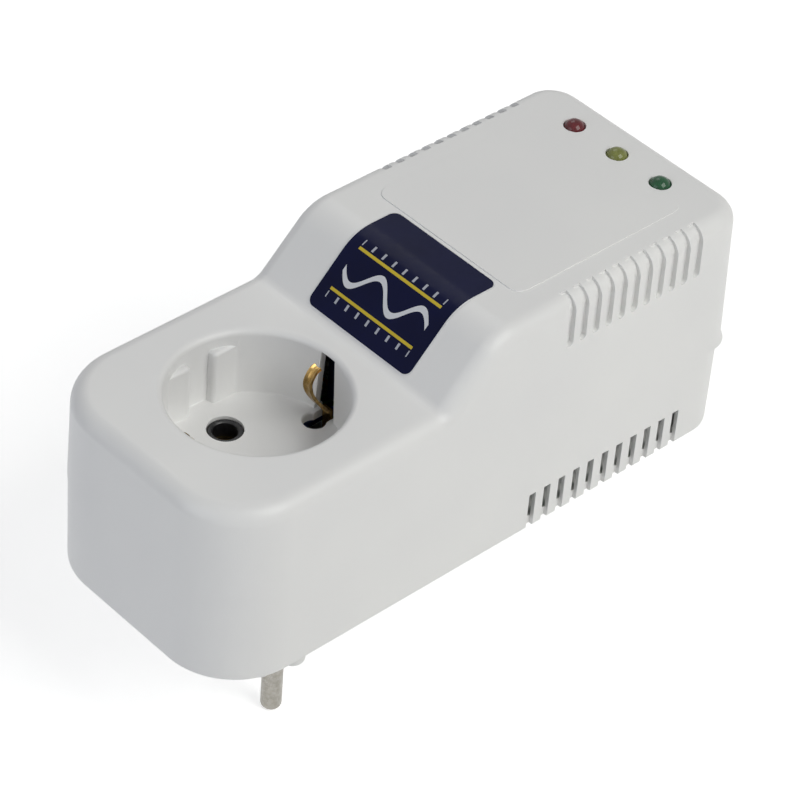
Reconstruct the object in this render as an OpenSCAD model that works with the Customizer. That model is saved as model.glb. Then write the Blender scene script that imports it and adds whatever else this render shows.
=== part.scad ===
// Plug-in voltage protector for an appliance: earthed socket on top, earthed plug underneath.
// Origin at the middle of the plug's face, +Z up through the socket, +X to the lamp end.

/* [Housing] */
// Width of the housing at the parting line
body_w = 62.8; // [60:0.2:68]
// From the plug's axis to the socket end of the housing
front_l = 34; // [33:0.5:38]
// From the plug's axis to the lamp end of the housing
back_l = 115; // [112:1:125]
// Height of the bottom housing
base_h = 23.5; // [22:0.5:26]
// Height of the socket's face above the underside
front_h = 46; // [45:0.5:50]
// Height of the hump above the underside
hump_h = 60; // [58:1:68]
// Where the slope would meet the socket's face
slope_x = 25; // [24.5:0.5:27]
// Run of the slope from the socket's face to the hump
slope_run = 14; // [12:0.5:18]
// Plan radius of the corners at the socket end
front_r = 17.5; // [15:0.5:20]
// Plan radius of the corners at the lamp end
back_r = 8.3; // [7:0.1:10]
// Plan radius of the bottom housing's corners at the lamp end
base_back_r = 9.8; // [8:0.1:12]
// Radius of the rounded upper edge
edge_r = 4; // [3:0.25:5]
// Wall of both housings
wall = 2.2; // [1.8:0.1:2.6]

/* [Socket] */
// Radius of the socket's well
well_r = 19.6; // [19.4:0.1:20]
// Depth of the well
well_depth = 17; // [16.5:0.1:17.5]
// Distance between the two flats of the well
flat_gap = 34.6; // [34:0.2:36]
// Width of the guide groove in each flat
groove_w = 6.2; // [5.8:0.1:6.6]
// Distance between the two pins
pin_pitch = 19; // [18.6:0.1:19.4]
// Diameter of the carrier's entry bores
entry_d = 5.5; // [5.4:0.1:5.7]
// Width of the earth clips
clip_w = 2.6; // [2:0.2:3.4]

/* [Plug] */
// Height of the plug body below the housing
plug_h = 19.5; // [18:0.5:21]
// Diameter of the plug body
plug_d = 37; // [36:0.2:37.4]
// Distance between the two flats of the plug body
plug_flat = 32.8; // [32:0.2:34]
// Diameter of the plug pins
pin_d = 4.8; // [4.4:0.1:5]
// Length of the plug pins below the plug body
pin_l = 19; // [18:0.5:20]

/* [Vents and lamps] */
// Number of vent slots and of grooves on each long side
vent_n = 11; // [7:1:12]
// Pitch of the vent slots
vent_pitch = 4.45; // [4.2:0.05:4.8]
// Width of a vent slot
vent_w = 2; // [1.6:0.1:2.6]
// Height of the vent slots above the underside
vent_h = 9.7; // [7:0.1:11]
// Pitch of the grooves over the hump's edges
rib_pitch = 3.84; // [3.5:0.01:4.2]
// Width of a groove
rib_w = 2; // [1.4:0.1:2.6]
// Depth of a groove
rib_depth = 1.2; // [0.6:0.1:1.3]
// Diameter of the lamps
lamp_d = 5; // [4.6:0.1:5.2]
// Distance between the lamps
lamp_pitch = 13.35; // [12:0.05:14]

/* [Circuit] */
// Thickness of the circuit boards
board_t = 1.6; // [1.2:0.1:2]
// Length of the relay
relay_l = 32; // [30:0.5:34]
// Width of the relay
relay_w = 27; // [25:0.5:28]
// Height of the relay
relay_h = 20; // [19.5:0.5:23]
// Diameter of the wires
wire_d = 2.4; // [2:0.1:2.8]

/* [Hidden] */

$fn = 48;
over = 1;
fit = 0.1;
slip = 0.05;

// heights from the plug's face
under_z = plug_h;
floor_z = under_z + wall;
part_z = under_z + base_h;
face_z = under_z + front_h;
hump_z = under_z + hump_h;
well_z = face_z - well_depth;
well_under_z = well_z - wall;
half_w = body_w / 2;
draft_share = 0.022;
back_lean_share = 0.016;

// side profile of the top: foot arc, straight slope, crest arc
foot_r = 3;
crest_r = 11;
slope_rise = hump_z - face_z;
slope_a = atan2(slope_rise, slope_run);
crest_x = slope_x + slope_run;
foot_t = foot_r * tan(slope_a / 2);
crest_t = crest_r * tan(slope_a / 2);
foot_from = slope_x - foot_t;
foot_to = slope_x + foot_t * cos(slope_a);
crest_from = crest_x - crest_t * cos(slope_a);
crest_to = crest_x + crest_t;
function top_z(x) =
    x <= foot_from ? face_z :
    x < foot_to ? face_z + foot_r - sqrt(max(0, pow(foot_r, 2) - pow(x - foot_from, 2))) :
    x < crest_from ? face_z + (x - slope_x) * tan(slope_a) :
    x < crest_to ? hump_z - crest_r + sqrt(max(0, pow(crest_r, 2) - pow(crest_to - x, 2))) :
    hump_z;
foot_steps = 3;
crest_steps = 5;
slope_xs = concat(
    [for (i = [0:foot_steps]) foot_from + (foot_to - foot_from) * i / foot_steps],
    [for (i = [0:crest_steps]) crest_from + (crest_to - crest_from) * i / crest_steps]);

// outline of the housing at an inset that may differ from point to point
front_arc_x = -front_l + front_r;
back_arc_x = back_l - back_r;
front_steps = 8;
back_steps = 5;
side = concat(
    [for (i = [0:front_steps]) [0, 90 - 90 * i / front_steps]],
    [for (x = slope_xs) [1, x]],
    [for (i = [0:back_steps]) [2, 90 * i / back_steps]]);
side_n = len(side);
function side_xy(s, inset) =
    s[0] == 0 ? [front_arc_x, half_w - front_r] + (front_r - inset) * [-sin(s[1]), cos(s[1])] :
    s[0] == 1 ? [s[1], half_w - inset] :
    [back_arc_x, half_w - back_r] + (back_r - inset) * [sin(s[1]), cos(s[1])];
edge_steps = 5;

// a closed skin that follows the top's profile, inset all round and lowered by the same amount
function skin_layers(r) = concat([[0, r]], [for (i = [1:edge_steps])
    let (a = 90 * i / edge_steps) [r * (1 - cos(a)), r * (1 - sin(a))]]);
function skin_pt(s, layer, inset, lower, bottom_z) =
    let (x0 = side_xy(s, inset)[0],
         z = layer == undef ? bottom_z : top_z(x0) - lower - layer[1],
         d = inset + (layer == undef ? 0 : layer[0]) + max(0, z - part_z) * draft_share,
         lean = s[0] == 2 ? max(0, z - part_z) * back_lean_share * sin(s[1]) : 0,
         p = side_xy(s, d))
    [p[0] - lean, p[1], z];
function skin_ring(layer, inset, lower, bottom_z) = concat(
    [for (i = [0:side_n - 1]) let (p = skin_pt(side[i], layer, inset, lower, bottom_z)) [p[0], -p[1], p[2]]],
    [for (i = [side_n - 1:-1:0]) skin_pt(side[i], layer, inset, lower, bottom_z)]);
module skin(inset, lower, bottom_z, r) {
    layers = skin_layers(r);
    n = side_n * 2;
    rings = concat([undef], layers);
    m = len(rings);
    pts = [for (k = rings) each skin_ring(k, inset, lower, bottom_z)];
    walls = [for (k = [0:m - 2], i = [0:n - 1])
        let (a = k * n + i, b = k * n + (i + 1) % n) each [[a, a + n, b + n], [a, b + n, b]]];
    cap = (m - 1) * n;
    top_faces = [for (i = [0:side_n - 2])
        let (a = cap + i, b = cap + i + 1, c = cap + n - 2 - i, d = cap + n - 1 - i)
        each [[a, d, c], [a, c, b]]];
    low_faces = [for (i = [0:side_n - 2])
        let (a = i, b = i + 1, c = n - 2 - i, d = n - 1 - i) each [[a, c, d], [a, b, c]]];
    polyhedron(pts, concat(walls, top_faces, low_faces));
}

// plan of the housing, inset all round, with a radius for the corners at the lamp end
module plan(inset, r = back_r) {
    w = half_w - inset;
    arc_x = back_l - r;
    translate([front_arc_x, -w]) square([arc_x - front_arc_x, 2 * w]);
    translate([-front_l + inset, -half_w + front_r]) square([front_r, 2 * (half_w - front_r)]);
    translate([arc_x - over, -half_w + r]) square([r - inset + over, 2 * (half_w - r)]);
    for (s = [-1, 1]) {
        translate([front_arc_x, s * (half_w - front_r)]) circle(front_r - inset);
        translate([arc_x, s * (half_w - r)]) circle(r - inset);
    }
}

// screws between the housings
screw_r = 1.4;
screw_head_r = 2.8;
screw_head_h = 2;
screw_sink = 9;
boss_r = 4;
boss_end_in = 13;
boss_side_in = 8.6;
boss_back_in = 8.6;
boss_places = [for (x = [boss_end_in - front_l, back_l - boss_back_in], s = [1, -1])
    [x, s * (half_w - boss_side_in)]];
screw_grip = 10;
head_top_share = 0.86;
cross_w = 0.8;
cross_l = 3.2;
cross_depth = 1;

// a pan-headed screw that points up, its head's bearing face at z = 0
module screw(r, head_r, head_h, length) {
    difference() {
        union() {
            cylinder(h = length, r = r);
            translate([0, 0, -head_h]) cylinder(h = head_h, r1 = head_r * head_top_share, r2 = head_r);
        }
        for (a = [0, 90]) rotate([0, 0, a])
            translate([-cross_l / 2, -cross_w / 2, -head_h - over])
                cube([cross_l, cross_w, cross_depth + over]);
    }
}

// lamps
lamp_in = 11.3;
lamp_x = back_l - lamp_in;
lamp_mid_y = 0.5;
lamp_ys = [for (i = [1, 0, -1]) lamp_mid_y + i * lamp_pitch];
lamp_r = lamp_d / 2;
lamp_proud = 1.4;
lamp_h = 9;
lamp_rim_r = 2.9;
lamp_rim_h = 1;
lamp_tip_z = hump_z + lamp_proud;
lamp_base_z = lamp_tip_z - lamp_h;
led_board_l = 14;
led_board_w = 35;
led_screw_y = lamp_pitch / 2;
led_board_z = lamp_base_z - board_t;

// grooves over the hump's long edges
rib_x = 59.05;
rib_low_h = 47.3;
rib_low_z = under_z + rib_low_h;
rib_end_in = 5;
rib_plane = half_w - (hump_z - part_z) * draft_share;

// vents
vent_x = 52.6;
vent_relief = 0.6;
vent_end = 1.5;

// raised panel on the hump
panel_x = 51.7;
panel_l = 48;
panel_w = 44.4;
panel_h = 0.3;
panel_r = 3;

// socket details
flat_ledge = 3.6;
rim_bevel = 1;
slot_top_w = 4.2;
slot_low_w = 6.2;
slot_reach = 3;
floor_hole_r = 2.6;
floor_hole_in = 2.9;
floor_hole_x = well_r - floor_hole_in;
neck_w = 4;
collar_gap = 0.15;
collar_r = 3.95;

module well_cutter() {
    difference() {
        translate([0, 0, well_z]) cylinder(h = well_depth + over, r = well_r);
        for (s = [-1, 1]) difference() {
            translate([-well_r, s > 0 ? flat_gap / 2 : -flat_gap / 2 - well_r, well_z - over])
                cube([2 * well_r, well_r, well_depth - flat_ledge + over]);
            translate([-groove_w / 2, s > 0 ? 0 : -2 * well_r, well_z - 2 * over])
                cube([groove_w, 2 * well_r, well_depth]);
        }
    }
    translate([0, 0, face_z - rim_bevel]) cylinder(h = rim_bevel, r1 = well_r, r2 = well_r + rim_bevel);
}

// opening for one earth clip: a slot in the wall that widens downwards, and its hole in the floor
module clip_opening() {
    translate([well_r - wall, 0, 0]) rotate([90, 0, 90]) linear_extrude(height = slot_reach + wall)
        polygon([[-slot_low_w / 2, well_z], [slot_low_w / 2, well_z],
            [slot_top_w / 2, face_z - rim_bevel], [-slot_top_w / 2, face_z - rim_bevel]]);
    translate([floor_hole_x, 0, well_under_z - over]) cylinder(h = wall + 2 * over, r = floor_hole_r);
    translate([floor_hole_x, -neck_w / 2, well_under_z - over])
        cube([well_r - floor_hole_x + slot_reach, neck_w, wall + 2 * over]);
}

module rib_cutter() {
    in_y = half_w - rib_end_in;
    arc_y = rib_plane - edge_r;
    arc_z = hump_z - edge_r;
    rotate([90, 0, 90]) linear_extrude(height = rib_w) difference() {
        translate([in_y, rib_low_z]) square([edge_r + 2 * over, hump_z - rib_low_z + over]);
        translate([0, rib_low_z - over]) square([rib_plane - rib_depth, arc_z - rib_low_z + over]);
        translate([arc_y, arc_z]) circle(edge_r - rib_depth);
    }
}

module rounded_slab(l, w, h, r) {
    linear_extrude(height = h) {
        translate([r, 0]) square([l - 2 * r, w]);
        translate([0, r]) square([l, w - 2 * r]);
        for (x = [r, l - r], y = [r, w - r]) translate([x, y]) circle(r);
    }
}

module top_housing() {
    color("#d6d7d6") difference() {
        union() {
            difference() {
                skin(0, 0, part_z, edge_r);
                skin(wall, wall, part_z - over, edge_r - wall / 2);
            }
            translate([panel_x, -panel_w / 2, hump_z - wall / 2])
                rounded_slab(panel_l, panel_w, wall / 2 + panel_h, panel_r);
            translate([0, 0, well_under_z]) cylinder(h = face_z - well_under_z - wall / 2, r = well_r + wall);
            for (p = boss_places) translate([p[0], p[1], part_z])
                cylinder(h = (p[0] < 0 ? face_z : hump_z) - part_z - wall / 2, r = boss_r);
            for (s = [-1, 1]) {
                translate([s * carrier_screw_x, 0, well_under_z - carrier_boss_h])
                    cylinder(h = carrier_boss_h + wall / 2, r = carrier_boss_r);
                translate([lamp_x, s * led_screw_y, led_board_z + board_t])
                    cylinder(h = hump_z - wall / 2 - led_board_z - board_t, r = led_boss_r);
            }
        }
        well_cutter();
        for (a = [0, 180]) rotate([0, 0, a]) clip_opening();
        for (s = [-1, 1]) {
            translate([0, s * pin_pitch / 2, well_under_z - over])
                cylinder(h = wall + 2 * over, r = collar_r + collar_gap);
            translate([s * carrier_screw_x, 0, well_under_z - carrier_boss_h - over])
                cylinder(h = carrier_screw_grip + over, r = screw_r + slip);
            translate([lamp_x, s * led_screw_y, led_board_z])
                cylinder(h = led_screw_grip, r = small_screw_r + slip);
        }
        for (p = boss_places) translate([p[0], p[1], part_z - over])
            cylinder(h = screw_grip + 2 * over, r = screw_r + slip);
        for (y = lamp_ys) translate([lamp_x, y, lamp_base_z]) cylinder(h = lamp_h + over, r = lamp_r + fit);
        for (i = [0:vent_n - 1], s = [0, 1])
            translate([rib_x + i * rib_pitch, 0, 0]) mirror([0, s, 0]) rib_cutter();
    }
}

// plug
tongue_r = 2.9;
tongue_reach = 18.3;
strap_w = 4;
strap_t = 0.8;
strap_x = 15.2;
strap_pocket_w = 5;
strap_low = 1.5;
strap_slot_gap = 0.15;
pin_hole_gap = 0.05;
shank_step = 0.3;
shank_r = pin_d / 2 + shank_step;
pin_flange_r = 4;
pin_flange_h = 1.5;
stud_r = 2;
stud_h = 5.2;
clamp_boss_r = 3;
pocket_x = 6;
pocket_l = 6;
pocket_w = 16;
plug_skin = 3;

module plug_body_shape() {
    intersection() {
        circle(plug_d / 2);
        square([plug_d, plug_flat], center = true);
    }
    for (s = [-1, 1]) translate([0, s * (tongue_reach - tongue_r)]) circle(tongue_r);
    square([2 * tongue_r, 2 * (tongue_reach - tongue_r)], center = true);
}

lip_step = 0.15;
tongue_gap = 0.2;
tongue_t = 1;
tongue_h = 2;
board_x = 34;
board_end = 4;
board_side_gap = 3.05;
board_w = body_w - 2 * (lip_step + wall + board_side_gap);
core_l = 27;
part_gap = 0.4;
board_l = board_end + relay_l + 2 * part_gap + core_l;
fuse_in = 3.4;
fuse_y = board_w / 2 - fuse_in;
fuse_r = 2.5;
clip_wall = 0.5;
relay_x = board_x + board_end + relay_l / 2;
relay_y = fuse_y - fuse_r - clip_wall - slip - part_gap - relay_w / 2;
// a place on the board, in shares of its length and of its half width
function across(share) = board_w / 2 * share;
function on_board(share) = [board_x + board_l * share[0], across(share[1])];
board_gap_h = 7.8;
board_z = floor_z + board_gap_h;
board_top = board_z + board_t;
post_r = 3;
post_in = 4;
small_screw_r = 1.1;
small_head_r = 2.2;
small_head_h = 1.6;
led_boss_r = 2.6;
led_screw_grip = 6;
board_screw_grip = 6;
board_posts = [for (x = [board_x + post_in, board_x + board_l - post_in], s = [-1, 1])
    [x, s * (board_w / 2 - post_in)]];

module bottom_housing() {
    color("#d6d7d6") difference() {
        union() {
            difference() {
                translate([0, 0, under_z]) linear_extrude(height = base_h) plan(lip_step, base_back_r);
                translate([0, 0, floor_z]) linear_extrude(height = base_h)
                    plan(lip_step + wall, base_back_r);
            }
            translate([0, 0, part_z - tongue_h]) difference() {
                union() {
                    linear_extrude(height = 2 * tongue_h) plan(wall + tongue_gap, base_back_r);
                    linear_extrude(height = tongue_h) plan(wall / 2, base_back_r);
                }
                translate([0, 0, -over]) linear_extrude(height = 2 * tongue_h + 2 * over)
                    plan(wall + tongue_gap + tongue_t, base_back_r);
            }
            linear_extrude(height = under_z + wall / 2) plug_body_shape();
            for (p = boss_places) translate([p[0], p[1], floor_z - wall / 2])
                cylinder(h = part_z - floor_z + wall / 2, r = boss_r);
            for (p = board_posts) translate([p[0], p[1], floor_z - wall / 2])
                cylinder(h = board_gap_h + wall / 2, r = post_r);
            translate([0, 0, floor_z - wall / 2]) cylinder(h = pin_flange_h + wall / 2, r = clamp_boss_r);
        }
        for (p = boss_places) {
            translate([p[0], p[1], under_z - over])
                cylinder(h = screw_sink + over, r = screw_head_r + 2 * fit);
            translate([p[0], p[1], under_z]) cylinder(h = base_h + over, r = screw_r + 2 * fit);
        }
        for (p = board_posts) translate([p[0], p[1], board_z - board_screw_grip])
            cylinder(h = board_screw_grip + over, r = small_screw_r + slip);
        translate([0, 0, floor_z - clamp_grip])
            cylinder(h = clamp_grip + pin_flange_h + over, r = screw_r + slip);
        for (s = [-1, 1]) {
            translate([0, s * pin_pitch / 2, -over])
                cylinder(h = floor_z + 2 * over, r = shank_r + pin_hole_gap);
            translate([s > 0 ? strap_x : -strap_x - plug_d / 2, -strap_pocket_w / 2, -over])
                cube([plug_d / 2, strap_pocket_w, under_z - wall + over]);
            translate([s * (strap_x + strap_t / 2), 0, strap_low + floor_z / 2])
                cube([strap_t + 2 * strap_slot_gap, strap_w + 2 * strap_slot_gap, floor_z], center = true);
            translate([s * (pocket_x + pocket_l / 2) - pocket_l / 2, -pocket_w / 2, plug_skin])
                cube([pocket_l, pocket_w, floor_z]);
        }
        for (i = [0:vent_n - 1], s = [0, 1]) mirror([0, s, 0])
            translate([vent_x + i * vent_pitch, half_w - lip_step - wall, under_z - over])
                cube([vent_w, wall + 2 * over, vent_h + over]);
        // the wall is thinner inside, along the vents
        for (s = [0, 1]) mirror([0, s, 0])
            translate([vent_x - vent_end, half_w - lip_step - wall - over, floor_z])
                cube([(vent_n - 1) * vent_pitch + vent_w + 2 * vent_end, over + vent_relief,
                    vent_h - wall + vent_end]);
    }
}

// label: a thin sheet that follows the slope
label_from = 25.9;
label_to = 51;
label_w = 32.4;
label_y = -1.2;
label_t = 0.15;
label_xs = concat([label_from],
    [for (x = slope_xs) if (x > label_from + fit && x < label_to - fit) x], [label_to]);
module label() {
    n = len(label_xs);
    color("#17172f") translate([0, label_y + label_w / 2, 0]) rotate([90, 0, 0])
        linear_extrude(height = label_w)
            polygon(concat([for (x = label_xs) [x, top_z(x) + slip]],
                [for (i = [n - 1:-1:0]) [label_xs[i], top_z(label_xs[i]) + slip + label_t]]));
}

// black insulating block under the well
carrier_w = 31;
carrier_l = 14;
carrier_arm_l = 29;
carrier_arm_w = 9;
carrier_h = 12.5;
carrier_screw_x = 11;
carrier_boss_h = 4;
carrier_boss_r = 2.9;
carrier_screw_grip = 5;
carrier_screw_l = carrier_h + strap_t - carrier_boss_h + carrier_screw_grip - fit;
carrier_z = well_under_z - carrier_h;
collar_sink = 0.5;
collar_bevel = 0.3;
sleeve_r = 3.3;
sleeve_grip_r = 2.55;
sleeve_l = 10;
sleeve_flange_r = 4.4;
sleeve_t = 0.8;
sleeve_hole_r = sleeve_r + fit;
sleeve_slit = 0.8;
entry_l = 3.5;
tab_w = 4;
tab_l = 8;

module contact_carrier() {
    top = well_z - collar_sink;
    color("#1b1b1d") difference() {
        union() {
            translate([-carrier_l / 2, -carrier_w / 2, carrier_z]) cube([carrier_l, carrier_w, carrier_h]);
            translate([-carrier_arm_l / 2, -carrier_arm_w / 2, carrier_z])
                cube([carrier_arm_l, carrier_arm_w, carrier_h]);
            for (s = [-1, 1]) translate([0, s * pin_pitch / 2, carrier_z])
                cylinder(h = top - carrier_z, r = collar_r);
        }
        for (s = [-1, 1]) {
            translate([0, s * pin_pitch / 2, 0]) {
                translate([0, 0, carrier_z]) cylinder(h = top - carrier_z + over, r = entry_d / 2);
                translate([0, 0, carrier_z - over])
                    cylinder(h = top - entry_l - collar_bevel - carrier_z + over, r = sleeve_hole_r);
                translate([0, 0, top - collar_bevel])
                    cylinder(h = collar_bevel, r1 = entry_d / 2, r2 = entry_d / 2 + collar_bevel);
            }
            translate([s * carrier_screw_x, 0, carrier_z - over])
                cylinder(h = carrier_h + 2 * over, r = screw_r + fit);
            translate([s * carrier_screw_x, 0, well_under_z - carrier_boss_h - fit])
                cylinder(h = carrier_boss_h + fit + over, r = carrier_boss_r + fit);
        }
    }
}
module carrier_screws() {
    color("#b8b9ba") for (s = [-1, 1]) translate([s * carrier_screw_x, 0, carrier_z - strap_t])
        screw(screw_r, screw_head_r, screw_head_h, carrier_screw_l);
}

// spring sleeve that grips a plug pin, with a flange under the carrier and a tab for the wire
module contact_sleeve(s) {
    y = s * pin_pitch / 2;
    color("#c9a65a") difference() {
        union() {
            translate([0, y, carrier_z - sleeve_t]) cylinder(h = sleeve_t, r = sleeve_flange_r);
            translate([0, y, carrier_z - sleeve_t]) cylinder(h = sleeve_l, r = sleeve_r);
            translate([-tab_w / 2, s > 0 ? y : y - tab_l - sleeve_flange_r, carrier_z - sleeve_t])
                cube([tab_w, tab_l + sleeve_flange_r, sleeve_t]);
        }
        translate([0, y, carrier_z - sleeve_t - over]) cylinder(h = sleeve_l + 2 * over, r = sleeve_grip_r);
        translate([-sleeve_slit / 2, s > 0 ? y - 2 * sleeve_r : y, carrier_z + sleeve_t])
            cube([sleeve_slit, 2 * sleeve_r, sleeve_l]);
    }
}
module live_contact() { contact_sleeve(-1); }
module neutral_contact() { contact_sleeve(1); }

// earth strap of the socket and its two sprung clips
clip_t = 0.8;
clip_out = 1;
clip_foot_h = 1.2;
clip_x = well_r + clip_out;
clip_foot_z = carrier_z + clip_foot_h;
clip_eye_r = 0.9;
clip_gap = 0.2;
// lean of each clip about its foot, outwards positive
clip_rear_lean = -2;
clip_front_lean = 2.8;
module earth_strap() {
    cup = clip_eye_r + clip_gap;
    half = clip_x + cup + strap_t;
    low = carrier_z - strap_t;
    color("#c9a65a") difference() {
        union() {
            translate([-half, -strap_w / 2, low]) cube([2 * half, strap_w, strap_t]);
            for (s = [-1, 1]) translate([s * (clip_x + cup + strap_t / 2) - strap_t / 2, -strap_w / 2, low])
                cube([strap_t, strap_w, clip_foot_z + clip_eye_r - low]);
        }
        for (s = [-1, 1]) translate([s * carrier_screw_x, 0, low - over])
            cylinder(h = strap_t + 2 * over, r = screw_r + fit);
    }
}
// centre line of a clip, as shares of the well's radius across and of its depth up from the floor
clip_line_shares = [[1.05, 0], [1.035, 0.06], [0.96, 0.17], [0.86, 0.33], [0.78, 0.5], [0.745, 0.64],
    [0.76, 0.76], [0.83, 0.87], [0.9, 0.9]];
function clip_pt(k) = [clip_line_shares[k][0] * well_r, well_z + clip_line_shares[k][1] * well_depth];
clip_pts = concat([[clip_x, clip_foot_z]],
    [for (k = [0:len(clip_line_shares) - 1]) clip_pt(k)]);
function dir(a, b) = (b - a) / norm(b - a);
function clip_normal(k) =
    let (n = len(clip_pts), a = clip_pts[max(0, k - 1)], b = clip_pts[min(n - 1, k + 1)], d = dir(a, b))
    [-d[1], d[0]];
module earth_clip(lean) {
    n = len(clip_pts);
    color("#c08f43") translate([clip_x, clip_w / 2, clip_foot_z]) rotate([90, 0, 0]) {
        rotate([0, 0, -lean]) translate([-clip_x, -clip_foot_z, 0]) linear_extrude(height = clip_w)
            polygon(concat(
                [for (k = [0:n - 1]) clip_pts[k] + clip_normal(k) * clip_t / 2],
                [for (k = [n - 1:-1:0]) clip_pts[k] - clip_normal(k) * clip_t / 2]));
        cylinder(h = clip_w, r = clip_eye_r);
    }
}
module earth_clip_rear() { earth_clip(clip_rear_lean); }
module earth_clip_front() { mirror([1, 0, 0]) earth_clip(clip_front_lean); }

// plug pins: a thicker shank in the plug body, a flange inside the housing and a stud for the wire
tip_r = 1.4;
module plug_pin(s) {
    color("#a8a7a3") translate([0, s * pin_pitch / 2, 0]) {
        translate([0, 0, -pin_l]) rotate_extrude() {
            translate([0, tip_r]) square([pin_d / 2, pin_l - tip_r]);
            square([pin_d / 2 - tip_r, pin_l]);
            translate([pin_d / 2 - tip_r, tip_r]) intersection() {
                circle(tip_r);
                translate([0, -tip_r]) square(tip_r);
            }
        }
        cylinder(h = floor_z, r = shank_r);
        translate([0, 0, floor_z]) cylinder(h = pin_flange_h, r = pin_flange_r);
        translate([0, 0, floor_z]) cylinder(h = pin_flange_h + stud_h, r = stud_r);
    }
}
module live_pin() { plug_pin(-1); }
module neutral_pin() { plug_pin(1); }

clamp_t = 2.5;
clamp_l = 10;
clamp_w = 27;
clamp_grip = 8;
clamp_z = floor_z + pin_flange_h;
module pin_clamp() {
    color("#1b1b1d") translate([0, 0, clamp_z]) difference() {
        translate([-clamp_l / 2, -clamp_w / 2, 0]) cube([clamp_l, clamp_w, clamp_t]);
        translate([0, 0, -over]) cylinder(h = clamp_t + 2 * over, r = screw_r + fit);
        for (s = [-1, 1]) translate([0, s * pin_pitch / 2, -over])
            cylinder(h = clamp_t + 2 * over, r = stud_r + fit);
    }
}
module clamp_screw() {
    color("#b8b9ba") translate([0, 0, clamp_z + clamp_t + strap_t]) mirror([0, 0, 1])
        screw(screw_r, screw_head_r, screw_head_h, clamp_t + strap_t + clamp_grip - fit);
}
module plug_earth_strap() {
    bar_z = clamp_z + clamp_t;
    color("#c9a65a") difference() {
        union() {
            for (s = [-1, 1]) translate([s * (strap_x + strap_t / 2) - strap_t / 2, -strap_w / 2, strap_low])
                cube([strap_t, strap_w, bar_z + strap_t - strap_low]);
            translate([-strap_x - strap_t, -strap_w / 2, bar_z])
                cube([2 * (strap_x + strap_t), strap_w, strap_t]);
        }
        translate([0, 0, bar_z - over]) cylinder(h = strap_t + 2 * over, r = screw_r + fit);
    }
}

// boards
module circuit_board() {
    color("#2f6b3c") difference() {
        translate([board_x, -board_w / 2, board_z]) cube([board_l, board_w, board_t]);
        for (p = board_posts) translate([p[0], p[1], board_z - over])
            cylinder(h = board_t + 2 * over, r = small_screw_r + fit);
    }
}
module board_screws() {
    color("#b8b9ba") for (p = board_posts) translate([p[0], p[1], board_top]) mirror([0, 0, 1])
        screw(small_screw_r, small_head_r, small_head_h, board_t + board_screw_grip - fit);
}
module led_board() {
    color("#2f6b3c") difference() {
        translate([lamp_x - led_board_l / 2, -led_board_w / 2, led_board_z])
            cube([led_board_l, led_board_w, board_t]);
        for (s = [-1, 1]) translate([lamp_x, s * led_screw_y, led_board_z - over])
            cylinder(h = board_t + 2 * over, r = small_screw_r + fit);
        for (y = lamp_ys, s = [-1, 1]) translate([lamp_x, y + s * lead_gap / 2, led_board_z - over])
            cylinder(h = board_t + 2 * over, r = lead_r + slip);
    }
}
module led_board_screws() {
    color("#b8b9ba") for (s = [-1, 1]) translate([lamp_x, s * led_screw_y, led_board_z])
        screw(small_screw_r, small_head_r, small_head_h, board_t + led_screw_grip - 2 * over);
}
module lamp(y, c) {
    color(c) translate([lamp_x, y, lamp_base_z]) {
        cylinder(h = lamp_rim_h, r = lamp_rim_r);
        cylinder(h = lamp_h - lamp_r, r = lamp_r);
        translate([0, 0, lamp_h - lamp_r]) sphere(lamp_r);
    }
}
module led_red() { lamp(lamp_ys[0], "#8e1f2c"); }
module led_yellow() { lamp(lamp_ys[1], "#a7a544"); }
module led_green() { lamp(lamp_ys[2], "#1f6b48"); }
lead_r = 0.3;
lead_gap = 2.54;
lead_out = 2;
module led_leads() {
    color("#b8b9ba") for (y = lamp_ys, s = [-1, 1])
        translate([lamp_x, y + s * lead_gap / 2, led_board_z - lead_out])
            cylinder(h = board_t + lead_out, r = lead_r);
}

// relay
relay_base_h = 3;
relay_wall = 1;
relay_seat = board_top + relay_base_h;
yoke_t = 1.5;
yoke_w = 10;
yoke_back = 8;
coil_h = 11;
coil_flange_t = 0.8;
coil_r = 6.8;
coil_flange_r = 7.4;
core_r = 2.5;
spool_r = 3.4;
pole_r = 4;
pole_h = 0.6;
pole_low = 0.4;
coil_z = relay_seat + yoke_t + slip;
yoke_top = coil_z + coil_h + slip + pole_h + pole_low;
armature_gap = 0.3;
armature_t = 1.2;
armature_z = yoke_top + armature_gap;
armature_l = 16;
leaf_t = 0.4;
leaf_w = 4;
leaf_over = 5;
touch_r = 1.4;
touch_h = 1;
touch_gap = 0.9;
contact_in = 2.75;
contact_x = relay_x - relay_l / 2 + relay_wall + contact_in;
post_t = 1.2;
module relay_box(inset, z, h) {
    translate([relay_x - relay_l / 2 + inset, relay_y - relay_w / 2 + inset, z])
        cube([relay_l - 2 * inset, relay_w - 2 * inset, h]);
}
module relay_base() { color("#22252b") relay_box(relay_wall + fit, board_top, relay_base_h); }
module relay_cover() {
    color("#2a4f8f") difference() {
        relay_box(0, board_top, relay_h);
        relay_box(relay_wall, board_top - over, relay_h - relay_wall + over);
    }
}
module relay_yoke() {
    color("#8d9094") translate([relay_x, relay_y, 0]) {
        translate([-coil_flange_r, -yoke_w / 2, relay_seat])
            cube([coil_flange_r + yoke_back + yoke_t, yoke_w, yoke_t]);
        translate([yoke_back, -yoke_w / 2, relay_seat]) cube([yoke_t, yoke_w, yoke_top - relay_seat]);
        translate([0, 0, relay_seat]) cylinder(h = yoke_top - pole_low - relay_seat, r = core_r);
        translate([0, 0, yoke_top - pole_low - pole_h]) cylinder(h = pole_h, r = pole_r);
    }
}
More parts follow.
